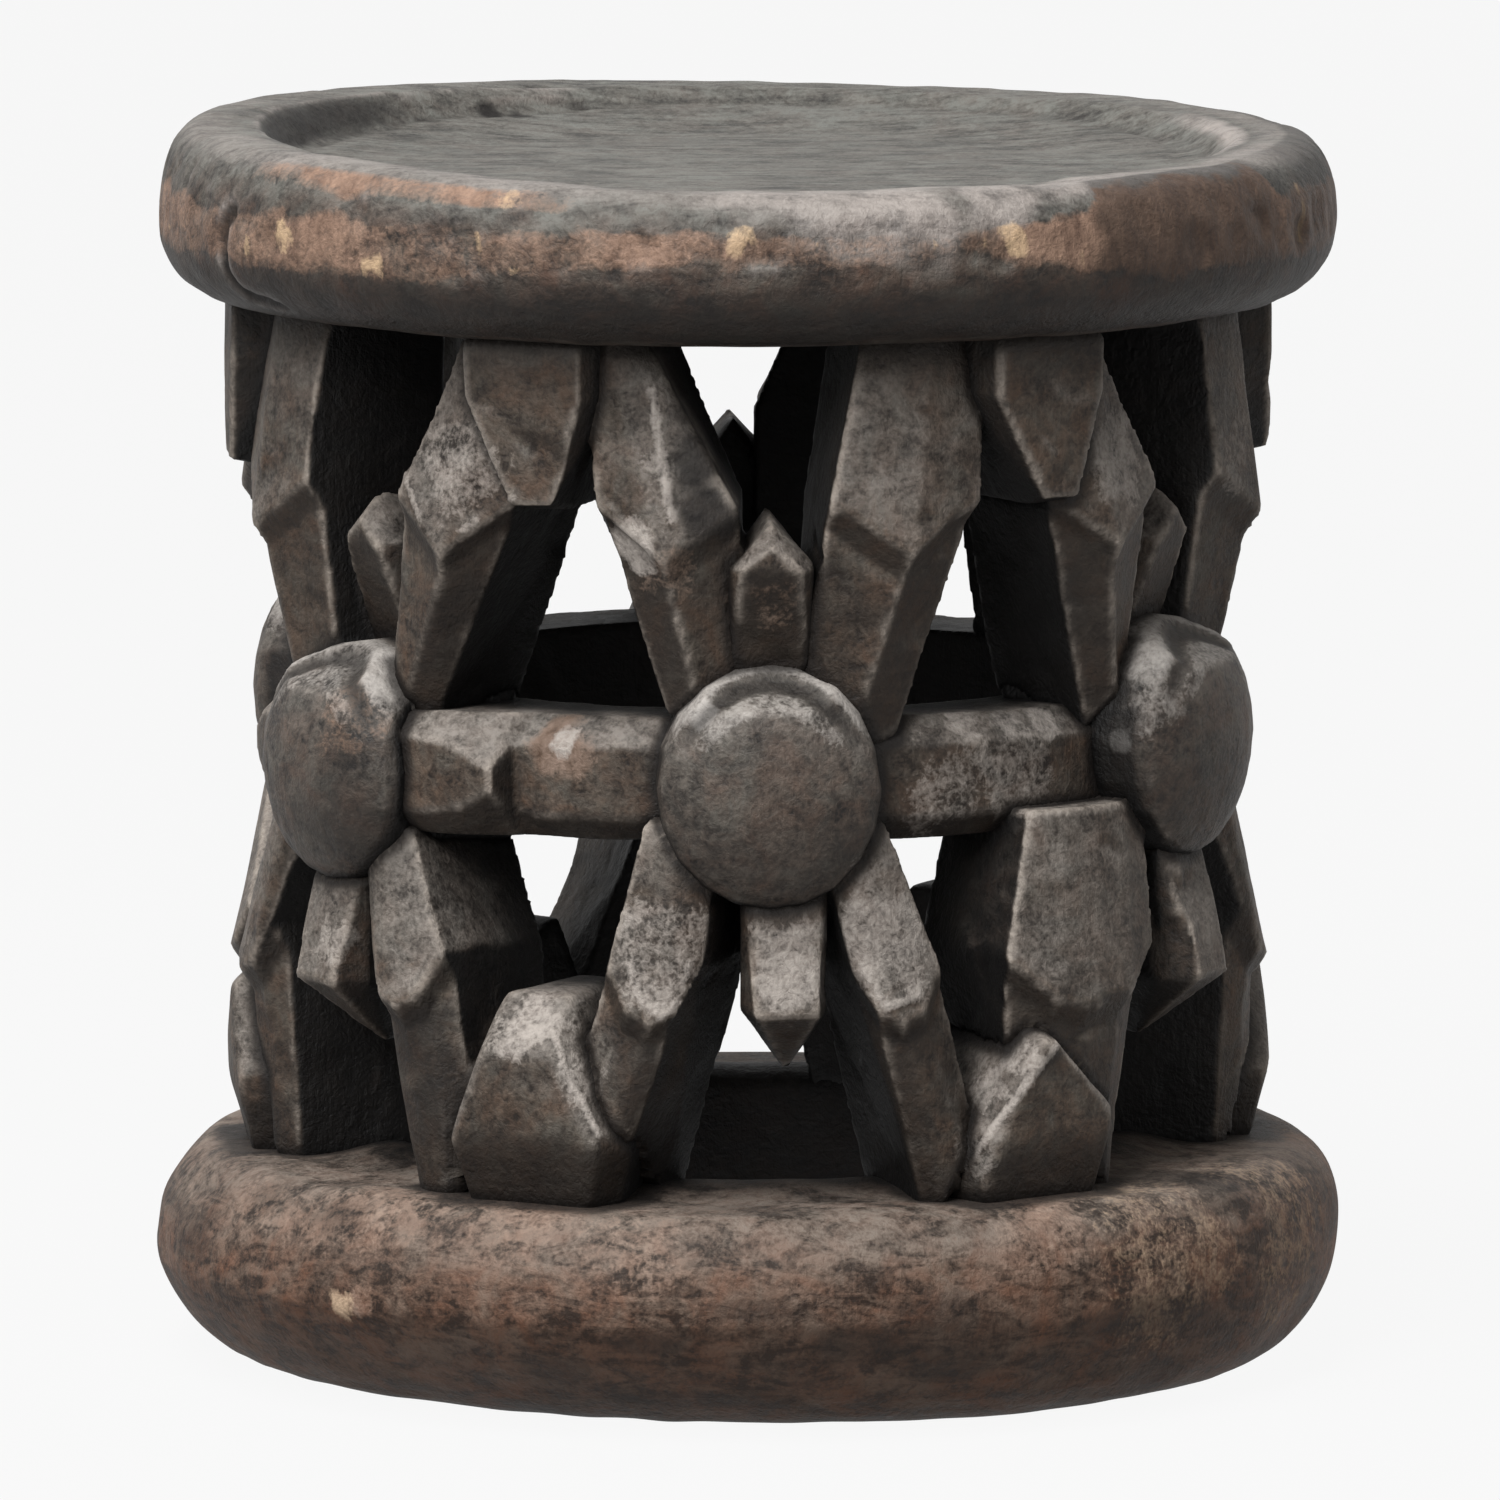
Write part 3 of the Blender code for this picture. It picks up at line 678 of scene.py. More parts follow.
@dataclass(frozen=True)
class Wood:
    """An aged wood.

    Attributes:
        slot: its material slot in the record.
        deep: colour of its darkest parts, and of its painted shade on faces that look down and in hollows.
        body: its main colour.
        ruddy: its redder main colour, in patches.
        dust: colour of faces that look up.
        worn: colour of rubbed ridges.
        scuff: colour of bared wood.
        pale: colour of the palest rubbed spots.
        dust_share: how much dust lies on faces that look up.
        dust_slope: how far a face looks up where the dust is full, from 0 to 1.
        patches: contrast of its broad stains.
        coarse: contrast of its fine marks.
        layered: contrast of its level streaks.
        planked: contrast of its long streaks from side to side.
        underside_shade: how far painted shade darkens its faces that look down, from 0 to 1.
        roughness: its mean roughness.
        shaded_inside: True if its inner side and its faces turned from outside are darkened with painted shade.
    """

    slot: str
    deep: Colour
    body: Colour
    ruddy: Colour
    dust: Colour
    worn: Colour
    scuff: Colour
    pale: Colour
    dust_share: float
    dust_slope: float
    patches: float
    coarse: float
    layered: float
    planked: float
    underside_shade: float
    roughness: float
    shaded_inside: bool

    def material(self) -> bpy.types.Material:
        """Builds the material.

        Returns:
            The material.
        """
        material = bpy.data.materials.new(self.slot + "_aged")
        material.use_nodes = True
        graph = Graph(material.node_tree)
        place = graph.node("ShaderNodeTexCoord", {}, {}, "Object")
        tilted = graph.node("ShaderNodeVectorRotate", {"rotation_type": "EULER_XYZ"}, {0: place, 4: (0.5, 0.3, 0.8)})
        fibre = graph.noise(graph.scaled(place, (1.0, 1.0, 0.10)), 520.0, 4.0, 0.6, 0.8)
        streak = graph.noise(graph.scaled(place, (1.0, 1.0, 3.0)), 46.0, 5.0, 0.62, 1.6)
        blotch = graph.noise(tilted, 52.0, 6.0, 0.62, 0.6)
        mottle = graph.noise(tilted, 190.0, 5.0, 0.60, 0.9)
        pit = graph.noise(tilted, 420.0, 3.0, 0.55, 0.7)
        speck = graph.noise(tilted, 820.0, 2.0, 0.5, 0.5)
        stroke = graph.noise(graph.scaled(place, (1.0, 1.0, 0.3)), 150.0, 4.0, 0.6, 0.6)
        normal = graph.node("ShaderNodeNewGeometry", {}, {}, "Normal")
        upward = graph.node("ShaderNodeSeparateXYZ", {}, {0: normal}, "Z")
        wear = graph.mask(Mask.WEAR)
        hollow_shade = graph.mask(Mask.CREASE)
        scuff = graph.mask(Mask.SCUFF)
        pale = graph.mask(Mask.PALE)
        stain_and_shade = graph.mask(Mask.STAIN_AND_SHADE)

        flat = graph.scaled(place, (1.0, 1.0, 0.0))
        radius = graph.node("ShaderNodeVectorMath", {"operation": "LENGTH"}, {0: flat}, "Value")
        away = graph.node("ShaderNodeVectorMath", {"operation": "NORMALIZE"}, {0: flat})
        outward = graph.node("ShaderNodeVectorMath", {"operation": "DOT_PRODUCT"}, {0: normal, 1: away}, "Value")
        exposed = (outward.eased(0.10, 0.70) + upward.eased(0.15, 0.60)).clipped()

        plank = graph.noise(graph.scaled(place, (0.14, 1.0, 1.0)), 240.0, 4.0, 0.6, 0.4)
        broad = (streak - 0.5) * self.layered + (blotch - 0.5) * 2.2 + (plank - 0.5) * self.planked
        grain = (mottle - 0.5) * 1.2 + (pit - 0.5) * 1.0 + (speck - 0.5) * 0.8 + (fibre - 0.5) * 0.35
        grain = grain * self.coarse
        tone = (broad * self.patches + grain + 0.55).clipped()
        hue = (graph.noise(tilted, 75.0, 4.0, 0.6, 0.8) * 3.0 - 1.05).clipped()
        colour = graph.mix(tone, self.deep, graph.mix(hue, self.body, self.ruddy))
        grit = (0.62 + broad * self.patches * 0.5 + grain * 0.8).clipped()
        dusty = (upward.eased(0.0, self.dust_slope) * exposed * grit * self.dust_share).clipped()
        thin = (self.dust[0] * 0.5, self.dust[1] * 0.5, self.dust[2] * 0.5, 1.0)
        colour = graph.mix(dusty, colour, graph.mix((0.7 + broad * 0.7 + grain * 0.8).clipped(), thin, self.dust))
        # painted shade on faces that look down
        colour = graph.mix((1.0 - upward.eased(-0.26, 0.02)) * self.underside_shade, colour, self.deep)
        rubbed = (wear * exposed * (grit * 0.9 + 0.2) * 0.9).clipped()
        colour = graph.mix(rubbed, colour, self.worn)
        bared = (scuff * 1.7 - 0.5 + (streak - 0.5) * 1.0 + grain * 0.9).clipped() * scuff.eased(0.02, 0.25)
        bare_tone = (0.55 + (stroke - 0.5) * 2.2 + grain * 0.7).clipped()
        colour = graph.mix(bared, colour, graph.mix(bare_tone, self.ruddy, self.scuff))
        bleached = (pale * 1.5 - 0.45 + (blotch - 0.5) * 1.0 + grain * 0.8).clipped() * pale.eased(0.02, 0.25)
        colour = graph.mix(bleached, colour, self.pale)
        # painted shade in hollows and beside neighbouring pieces, towards the deep colour
        colour = graph.mix((hollow_shade * 0.8).clipped(), colour, self.deep)
        # near black for real stains and for painted shade
        colour = graph.mix((stain_and_shade * (0.7 + mottle * 0.6)).clipped(), colour, shade(18, 14, 12))
        # painted shade: the inner side and faces turned away from outside go near black
        if self.shaded_inside:
            inside = 1.0 - (radius + (blotch - 0.5) * 0.02).eased(0.112, 0.146)
            inner_shade = (1.0 - (1.0 - inside) * exposed).clipped()
            colour = graph.mix(inner_shade * 0.96, colour, shade(6, 5, 5))

        height = fibre * 0.45 + mottle * 0.9 + pit * 0.7 + speck * 0.35 + blotch * 0.8
        bump = graph.node("ShaderNodeBump", {}, {"Strength": 0.6, "Distance": 0.0011, "Height": height})
        gloss = (self.roughness + (mottle - 0.5) * 0.22 - wear * 0.10 + dusty * 0.10).clipped()
        sockets = {"Base Color": colour, "Roughness": gloss, "Normal": bump, "Specular IOR Level": 0.28}
        wood = graph.node("ShaderNodeBsdfPrincipled", {}, sockets)
        graph.node("ShaderNodeOutputMaterial", {}, {"Surface": wood})
        return material


SEAT_WOOD = Wood(
    slot="seat_wood",
    deep=shade(34, 29, 26),
    body=shade(90, 85, 78),
    ruddy=shade(92, 71, 60),
    dust=shade(119, 120, 115),
    worn=shade(166, 157, 151),
    scuff=shade(160, 131, 112),
    pale=shade(212, 182, 146),
    dust_share=0.85,
    dust_slope=0.75,
    patches=0.8,
    coarse=0.9,
    layered=1.2,
    planked=2.8,
    underside_shade=0.35,
    roughness=0.60,
    shaded_inside=False,
)
BASE_WOOD = Wood(
    slot="base_wood",
    deep=shade(40, 27, 19),
    body=shade(122, 103, 90),
    ruddy=shade(118, 84, 66),
    dust=shade(138, 133, 125),
    worn=shade(172, 156, 142),
    scuff=shade(164, 140, 124),
    pale=shade(208, 180, 152),
    dust_share=0.60,
    dust_slope=1.0,
    patches=1.0,
    coarse=1.15,
    layered=3.2,
    planked=0.8,
    underside_shade=0.30,
    roughness=0.68,
    shaded_inside=True,
)
OPENWORK_WOOD = Wood(
    slot="openwork_wood",
    deep=shade(31, 24, 19),
    body=shade(98, 92, 84),
    ruddy=shade(98, 78, 64),
    dust=shade(152, 145, 138),
    worn=shade(176, 165, 154),
    scuff=shade(148, 127, 113),
    pale=shade(186, 177, 169),
    dust_share=0.85,
    dust_slope=0.30,
    patches=0.9,
    coarse=1.2,
    layered=1.2,
    planked=0.4,
    underside_shade=0.72,
    roughness=0.64,
    shaded_inside=True,
)
BODY_WOOD = Wood(
    slot="body_wood",
    deep=shade(28, 24, 22),
    body=shade(100, 95, 88),
    ruddy=shade(98, 82, 72),
    dust=shade(142, 136, 129),
    worn=shade(162, 152, 143),
    scuff=shade(156, 126, 106),
    pale=shade(188, 182, 176),
    dust_share=0.75,
    dust_slope=0.55,
    patches=0.8,
    coarse=1.1,
    layered=1.2,
    planked=0.4,
    underside_shade=0.30,
    roughness=0.58,
    shaded_inside=True,
)


def smooth_profile(corners: list[tuple[float, float, float]]) -> Array:
    """Draws a soft line through corner points.

    Args:
        corners: radius, height and the step used up to the next corner, in metres.

    Returns:
        Radius and height, one row per point of the line.
    """
    points = np.array([corner[:2] for corner in corners])
    gaps = np.linalg.norm(np.diff(points, axis=0), axis=1)
    along = np.concatenate([[0.0], np.cumsum(gaps)])
    slopes = np.gradient(points, along, axis=0)
    rows = []
    for index, gap in enumerate(gaps):
        count = max(1, round(gap / corners[index][2]))
        for part in np.linspace(0.0, 1.0, count, endpoint=False):
            start = points[index] * (2 * part**3 - 3 * part**2 + 1) + slopes[index] * gap * (part**3 - 2 * part**2 + part)
            end = points[index + 1] * (3 * part**2 - 2 * part**3) + slopes[index + 1] * gap * (part**3 - part**2)
            rows.append(start + end)
    rows.append(points[-1])
    return np.array(rows)


def towards(angles: Array, centre: float) -> Array:
    """How far angles look towards one direction.

    Args:
        angles: angles in degrees.
        centre: the direction in degrees.

    Returns:
        1 at the direction, falling to 0 opposite it.
    """
    return (1.0 + np.cos(np.radians(angles - centre))) / 2


@dataclass
class Seat:
    """The thick dished seat with its chipped rim.

    Attributes:
        steps: points round the rim.
        adze: broad cuts of the rim.
        chips: small cuts along the rim's edge.
        crack: places along the crack in the left of the rim.
        spots: its painted patches.
    """

    steps: int = 720
    adze: Knife = Knife(120, 0.024, 0.0004, 0.03)
    chips: Knife = Knife(260, 0.0060, 0.0006, 0.12)
    crack: tuple[tuple[float, float, float], ...] = (
        (-0.1560, -0.0905, 0.3600),
        (-0.1576, -0.0869, 0.3562),
        (-0.1582, -0.0860, 0.3489),
        (-0.1546, -0.0868, 0.3396),
        (-0.1495, -0.0893, 0.3353),
        (-0.1392, -0.1005, 0.3329),
    )
    spots: tuple[Spot, ...] = (
        Spot((-0.1385, -0.1148, 0.3555), 0.006, Mask.PALE, 0.75),
        Spot((-0.0024, -0.1789, 0.3606), 0.006, Mask.PALE, 0.65),
        Spot((0.0791, -0.1607, 0.3587), 0.007, Mask.PALE, 0.75),
        Spot((-0.0800, 0.1147, 0.3710), 0.006, Mask.STAIN_AND_SHADE, 1.0),
        Spot((-0.0720, 0.1150, 0.3710), 0.006, Mask.STAIN_AND_SHADE, 1.0),
        Spot((0.0747, -0.1567, 0.3702), 0.018, Mask.WEAR, 1.0),
        Spot((0.0450, -0.1650, 0.3700), 0.022, Mask.WEAR, 1.0),
        Spot((0.0180, -0.1680, 0.3700), 0.022, Mask.WEAR, 0.9),
        Spot((-0.0705, -0.1593, 0.3714), 0.006, Mask.PALE, 0.5),
    )

    def build(self) -> Carving:
        """Shapes the seat.

        Returns:
            The carving.
        """
        corners = [
            (0.004, 0.3648, 0.0045),
            (0.090, 0.3650, 0.0040),
            (0.130, 0.3650, 0.0026),
            (0.1405, 0.3656, 0.0016),
            (0.1455, 0.3684, 0.0016),
            (0.1500, 0.3707, 0.0019),
            (0.1600, 0.3719, 0.0019),
            (0.1690, 0.3712, 0.0017),
            (0.1748, 0.3680, 0.0017),
            (0.1786, 0.3620, 0.0017),
            (0.1803, 0.3540, 0.0017),
            (0.1803, 0.3470, 0.0018),
            (0.1788, 0.3405, 0.0018),
            (0.1745, 0.3340, 0.0020),
            (0.1670, 0.3290, 0.0025),
            (0.1560, 0.3263, 0.0050),
            (0.1400, 0.3260, 0.0120),
            (0.0040, 0.3260, 0.0120),
        ]
        carving = Carving.turned("seat", smooth_profile(corners), self.steps, False)
        angles = carving.angle()
        reach = carving.reach()
        share = np.clip((carving.points[:, 2] - 0.350) / 0.022, 0.0, 1.2)
        lift = 0.003 * np.sin(np.radians(angles)) ** 2 + 0.005 * towards(angles, -115.0)
        worn_floor = 0.0055 * towards(angles, 175.0) ** 2 * ramp(reach, 0.096, 0.142) * (share > 0.0)
        carving.points[:, 2] += share * lift * ramp(reach, 0.1395, 0.1500)
        carving.points[:, 2] += worn_floor * (1.0 - ramp(reach, 0.142, 0.154))
        outer = reach > 0.138
        hold = ramp(reach, 0.100, 0.150)[:, None]
        wobble = np.stack([lattice_noise(carving.points, 0.055, seed) for seed in (11, 12, 13)], axis=1)
        carving.points += wobble * hold * 0.0006
        carving.cut(self.adze, 21, outer & (carving.points[:, 2] > 0.328))
        carving.ripple(0.012, 0.00035, 23)
        edge = (reach > 0.172) & (carving.points[:, 2] > 0.350) & (carving.points[:, 2] < 0.372)
        carving.cut(self.chips, 22, edge)
        carving.relax(0.25, 1)
        split = 1.0 - ramp(carving.span(self.crack), 0.0010, 0.0034)
        carving.points -= carving.normals() * (0.0022 * split)[:, None]
        return carving

    def dress(self, carving: Carving) -> bpy.types.Object:
        """Paints the seat and shows it.

        Args:
            carving: the shaped seat.

        Returns:
            The piece.
        """
        carving.age()
        heights = carving.points[:, 2]
        reach = carving.reach()
        angles = carving.angle()
        ragged = 0.0024 * lattice_noise(carving.points, 0.016, 31) + 0.0016 * lattice_noise(carving.points, 0.005, 32)
        level = heights + ragged
        side = reach > 0.165
        wander = angles + 1.6 * lattice_noise(carving.points, 0.007, 37)
        block = ramp(wander, 34.5, 37.0) * (1.0 - ramp(wander, 60.0, 66.0))
        bare_top = 0.3610 + 0.003 * ramp(angles, 18.0, 27.0) + 0.008 * block
        bare_foot = 0.3440 + 0.008 * (1.0 - ramp(np.abs(angles - 8.0), 10.0, 42.0))
        band = ramp(level - bare_foot, -0.002, 0.004) * (1.0 - ramp(level - bare_top, -0.0008, 0.0022)) * side
        patchy = 0.68 + 0.40 * lattice_noise(carving.points, 0.030, 33) + 0.25 * block
        carving.masks[Mask.SCUFF] = np.clip(band * patchy, 0.0, 1.0)
        flecks = lattice_noise(carving.points * np.array([1.0, 1.0, 0.6]), 0.0050, 34)
        carving.masks[Mask.PALE] = band * ramp(flecks, 0.40, 0.85) * 0.7 * (1.0 - block)
        lip = (1.0 - ramp(np.abs(reach - 0.1735), 0.0015, 0.0045)) * (heights > 0.3675)
        lip *= 1.0 - ramp(np.abs(angles + 38.0), 14.0, 24.0)
        rubbed_lip = lip * (0.72 + 0.55 * lattice_noise(carving.points, 0.014, 35))
        carving.masks[Mask.SCUFF] = np.maximum(carving.masks[Mask.SCUFF], rubbed_lip)
        crest = ramp(reach, 0.152, 0.160) * (1.0 - ramp(reach, 0.171, 0.176)) * (heights > 0.362)
        handled = crest * towards(angles, 8.0) * (0.62 + 0.4 * lattice_noise(carving.points, 0.025, 36))
        inner = (1.0 - ramp(np.abs(reach - 0.1490), 0.0015, 0.0050)) * (heights > 0.360)
        inner *= 1.0 - ramp(np.abs(angles - 92.0), 14.0, 30.0)
        carving.masks[Mask.WEAR] = np.maximum.reduce([carving.masks[Mask.WEAR], handled, inner])
        # painted shade on the lower side of the rim; the next lines also darken the right end of the rim
        shaded = 0.68 * (1.0 - ramp(level, 0.335, 0.350)) * side
        browned = 0.68 * block * ramp(level, 0.340, 0.347) * side
        far_end = 0.55 * ramp(angles, 60.0, 74.0) * (1.0 - ramp(angles, 110.0, 140.0)) * side
        # painted shadow of the inner lip on the dish wall at the left back
        wall_shadow = 1.0 - ramp(np.abs(reach - 0.1455), 0.002, 0.006)
        wall_shadow *= (1.0 - ramp(np.abs(angles + 107.0), 16.0, 30.0)) * (heights > 0.360)
        crack = 1.0 - ramp(carving.span(self.crack), 0.0015, 0.0038)
        carving.masks[Mask.STAIN_AND_SHADE] = np.maximum.reduce([shaded, browned, far_end, 0.85 * wall_shadow, crack])
        carving.paint(self.spots)
        return carving.show("seat_carved", "seat", SEAT_WOOD.material())


@dataclass
class Base:
    """The thick ring base with its dusty shoulder.

    Attributes:
        steps: points round the ring.
        adze: broad cuts of its side.
        spots: its painted patches.
    """

    steps: int = 640
    adze: Knife = Knife(120, 0.024, 0.0005, 0.03)
    spots: tuple[Spot, ...] = (
        Spot((-0.1211, -0.1334, 0.0343), 0.007, Mask.PALE, 0.8),
        Spot((-0.1150, -0.1385, 0.0360), 0.007, Mask.SCUFF, 0.8),
        # painted light: these two broad pale patches lift the right of the base, which the lamps on the left leave
        # darker
        Spot((0.1250, -0.1250, 0.0500), 0.045, Mask.PALE, 0.36),
        Spot((0.1600, -0.0700, 0.0480), 0.040, Mask.PALE, 0.36),
    )

    def build(self) -> Carving:
        """Shapes the base.

        Returns:
            The carving.
        """
        corners = [
            (0.1040, 0.0640, 0.0040),
            (0.1060, 0.0660, 0.0035),
            (0.1400, 0.0662, 0.0026),
            (0.1600, 0.0660, 0.0020),
            (0.1680, 0.0652, 0.0018),
            (0.1745, 0.0620, 0.0018),
            (0.1790, 0.0565, 0.0018),
            (0.1815, 0.0480, 0.0018),
            (0.1820, 0.0390, 0.0018),
            (0.1808, 0.0290, 0.0018),
            (0.1775, 0.0190, 0.0018),
            (0.1720, 0.0100, 0.0018),
            (0.1640, 0.0035, 0.0020),
            (0.1540, 0.0004, 0.0040),
            (0.1480, 0.0000, 0.0080),
            (0.1100, 0.0000, 0.0080),
            (0.1040, 0.0010, 0.0080),
            (0.1040, 0.0300, 0.0080),
        ]
        carving = Carving.turned("base", smooth_profile(corners), self.steps, True)
        angles = carving.angle()
        reach = carving.reach()
        heights = carving.points[:, 2].copy()
        drop = ramp(reach, 0.162, 0.182) * ramp(heights, 0.010, 0.052)
        carving.points[:, 2] -= 0.008 * drop * towards(angles, -90.0)
        worn = 0.012 * np.clip(1.0 - heights / 0.038, 0.0, 1.0) * towards(angles, -24.0) ** 6 * (reach > 0.110)
        carving.points[:, :2] *= ((reach - worn) / reach)[:, None]
        side = (reach > 0.150) & (heights > 0.003)
        wobble = np.stack([lattice_noise(carving.points, 0.055, seed) for seed in (41, 42, 43)], axis=1)
        wobble[:, 2] *= heights > 0.004
        carving.points += wobble * ramp(reach, 0.140, 0.172)[:, None] * 0.0011
        carving.cut(self.adze, 51, side)
        carving.ripple(0.012, 0.00035, 53)
        carving.relax(0.35, 1)
        carving.points[:, 2] = np.maximum(carving.points[:, 2], 0.0)
        return carving

    def dress(self, carving: Carving, blocks: "Blocks") -> bpy.types.Object:
        """Paints the base and shows it.

        Args:
            carving: the shaped base.
            blocks: the fine blocks, which know what stands on the base.

        Returns:
            The piece.
        """
        carving.age()
        # painted shade where the teeth and legs stand on the base
        near_shade = blocks.contact_shade(carving, "base", 0.009)
        heights = carving.points[:, 2]
        reach = carving.reach()
        ragged = 0.004 * lattice_noise(carving.points, 0.025, 61) + 0.002 * lattice_noise(carving.points, 0.008, 62)
        shoulder = ramp(heights + ragged, 0.038, 0.056) * (reach > 0.150)
        carving.masks[Mask.SCUFF] = shoulder * (0.26 + 0.50 * lattice_noise(carving.points, 0.030, 63))
        # darker towards the bottom of the base
        bottom_dark = (1.0 - ramp(heights + 2.0 * ragged, 0.010, 0.034)) * (reach > 0.120)
        streaks = lattice_noise(carving.points * np.array([1.0, 1.0, 3.0]), 0.030, 64)
        # real streak stains, painted shade beside the pieces on the base, and darkening towards the bottom
        stains_and_shade = 0.14 * bottom_dark + 0.50 * ramp(streaks, 0.10, 0.70) + 0.85 * ramp(near_shade, 0.10, 0.85)
        carving.masks[Mask.STAIN_AND_SHADE] = np.clip(stains_and_shade, 0.0, 0.85)
        carving.paint(self.spots)
        return carving.show("base_carved", "base", BASE_WOOD.material())


class Blocks:
    """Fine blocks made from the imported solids, ready for carving."""

    def __init__(self, voxel: float) -> None:
        """Starts with no blocks.

        Args:
            voxel: size of the fine mesh in metres.
        """
        self.voxel = voxel
        self.ready: dict[str, bpy.types.Mesh] = {}
        self.corners: dict[str, Array] = {}
        for node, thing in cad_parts.items():
            flat = np.empty(len(thing.data.vertices) * 3, dtype=np.float32)
            thing.data.vertices.foreach_get("co", flat)
            self.corners[node] = flat.reshape(-1, 3)

    def cut_from(self, nodes: list[str]) -> None:
        """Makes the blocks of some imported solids.

        Args:
            nodes: names of the solids.
        """
        helpers = []
        for node in nodes:
            helper = bpy.data.objects.new("block_" + node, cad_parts[node].data.copy())
            bpy.context.scene.collection.objects.link(helper)
            fine = helper.modifiers.new("fine", "REMESH")
            fine.mode = "VOXEL"
            fine.voxel_size = self.voxel
            helpers.append((node, helper))
        graph = bpy.context.evaluated_depsgraph_get()
        for node, helper in helpers:
            self.ready[node] = bpy.data.meshes.new_from_object(helper.evaluated_get(graph))
        for _, helper in helpers:
            rough = helper.data
            bpy.data.objects.remove(helper)
            bpy.data.meshes.remove(rough)

    def rank(self, node: str) -> int:
        """Tells which solids run into which: a solid runs into those of a lower rank.

        Args:
            node: name of the solid.

        Returns:
            Its rank.
        """
        kinds = ("seat", "base", "band", "knob", "body", "head", "tail", "leg")
        return next(index for index, kind in enumerate(kinds) if kind in node)

    def neighbours(self, node: str, lower: bool) -> BVHTree:
        """Finds the solids that a solid touches.

        Args:
            node: name of the solid.
            lower: True for those of a lower rank only.

        Returns:
            A search tree over the faces of its neighbours.
        """
        low = self.corners[node].min(axis=0) - 0.010
        high = self.corners[node].max(axis=0) + 0.010
        corners: list[list[float]] = []
        faces: list[list[int]] = []
        for other, points in self.corners.items():
            if other == node or np.any(points.min(axis=0) > high) or np.any(points.max(axis=0) < low):
                continue
            if lower and self.rank(other) >= self.rank(node):
                continue
            start = len(corners)
            corners += points.tolist()
            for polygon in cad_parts[other].data.polygons:
                faces.append([start + index for index in polygon.vertices])
        return BVHTree.FromPolygons(corners, faces)

    def bury(self, carving: Carving, node: str, reach: float, depth: float) -> None:
        """Pushes the faces that meet a neighbour into it, so that the wood runs on without a seam.

        Args:
            carving: the block of the solid.
            node: name of the solid.
            reach: how near a neighbour counts as touching, in metres.
            depth: how far the touching faces are pushed, in metres.
        """
        tree = self.neighbours(node, True)
        normals = carving.normals()
        moves = np.zeros_like(carving.points)
        for index, point in enumerate(carving.points.tolist()):
            place, _, _, distance = tree.find_nearest(Vector(point), reach)
            if place is not None and distance > 0.00002:
                way = (np.array(place) - point) / distance
                if way @ normals[index] > 0.55:
                    moves[index] = way * (1.0 - distance / reach)
        carving.points += moves * depth

    def contact_shade(self, carving: Carving, node: str, reach: float) -> Array:
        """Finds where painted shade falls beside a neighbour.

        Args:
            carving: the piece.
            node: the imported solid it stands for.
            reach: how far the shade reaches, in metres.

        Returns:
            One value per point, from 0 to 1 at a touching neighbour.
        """
        tree = self.neighbours(node, False)
        near_shade = np.zeros(len(carving.points))
        for index, point in enumerate(carving.points.tolist()):
            place, _, _, distance = tree.find_nearest(Vector(point), reach)
            if place is not None:
                near_shade[index] = 1.0 - distance / reach
        return near_shade

    def block(self, node: str) -> Carving:
        """Takes a block with the solid's flat faces and slightly soft edges.

        Args:
            node: name of the solid.

        Returns:
            The carving.
        """
        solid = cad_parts[node].data
        carving = Carving(self.ready[node])
        for _ in range(3):
            carving.relax(0.5, 1)
            carving.hug(solid, 1.0)
            carving.crisp(solid, self.voxel * 0.90, 0.95)
        carving.relax(0.10, 1)
        self.bury(carving, node, 0.0024, 0.0050)
        carving.swell(0.0003)
        return carving


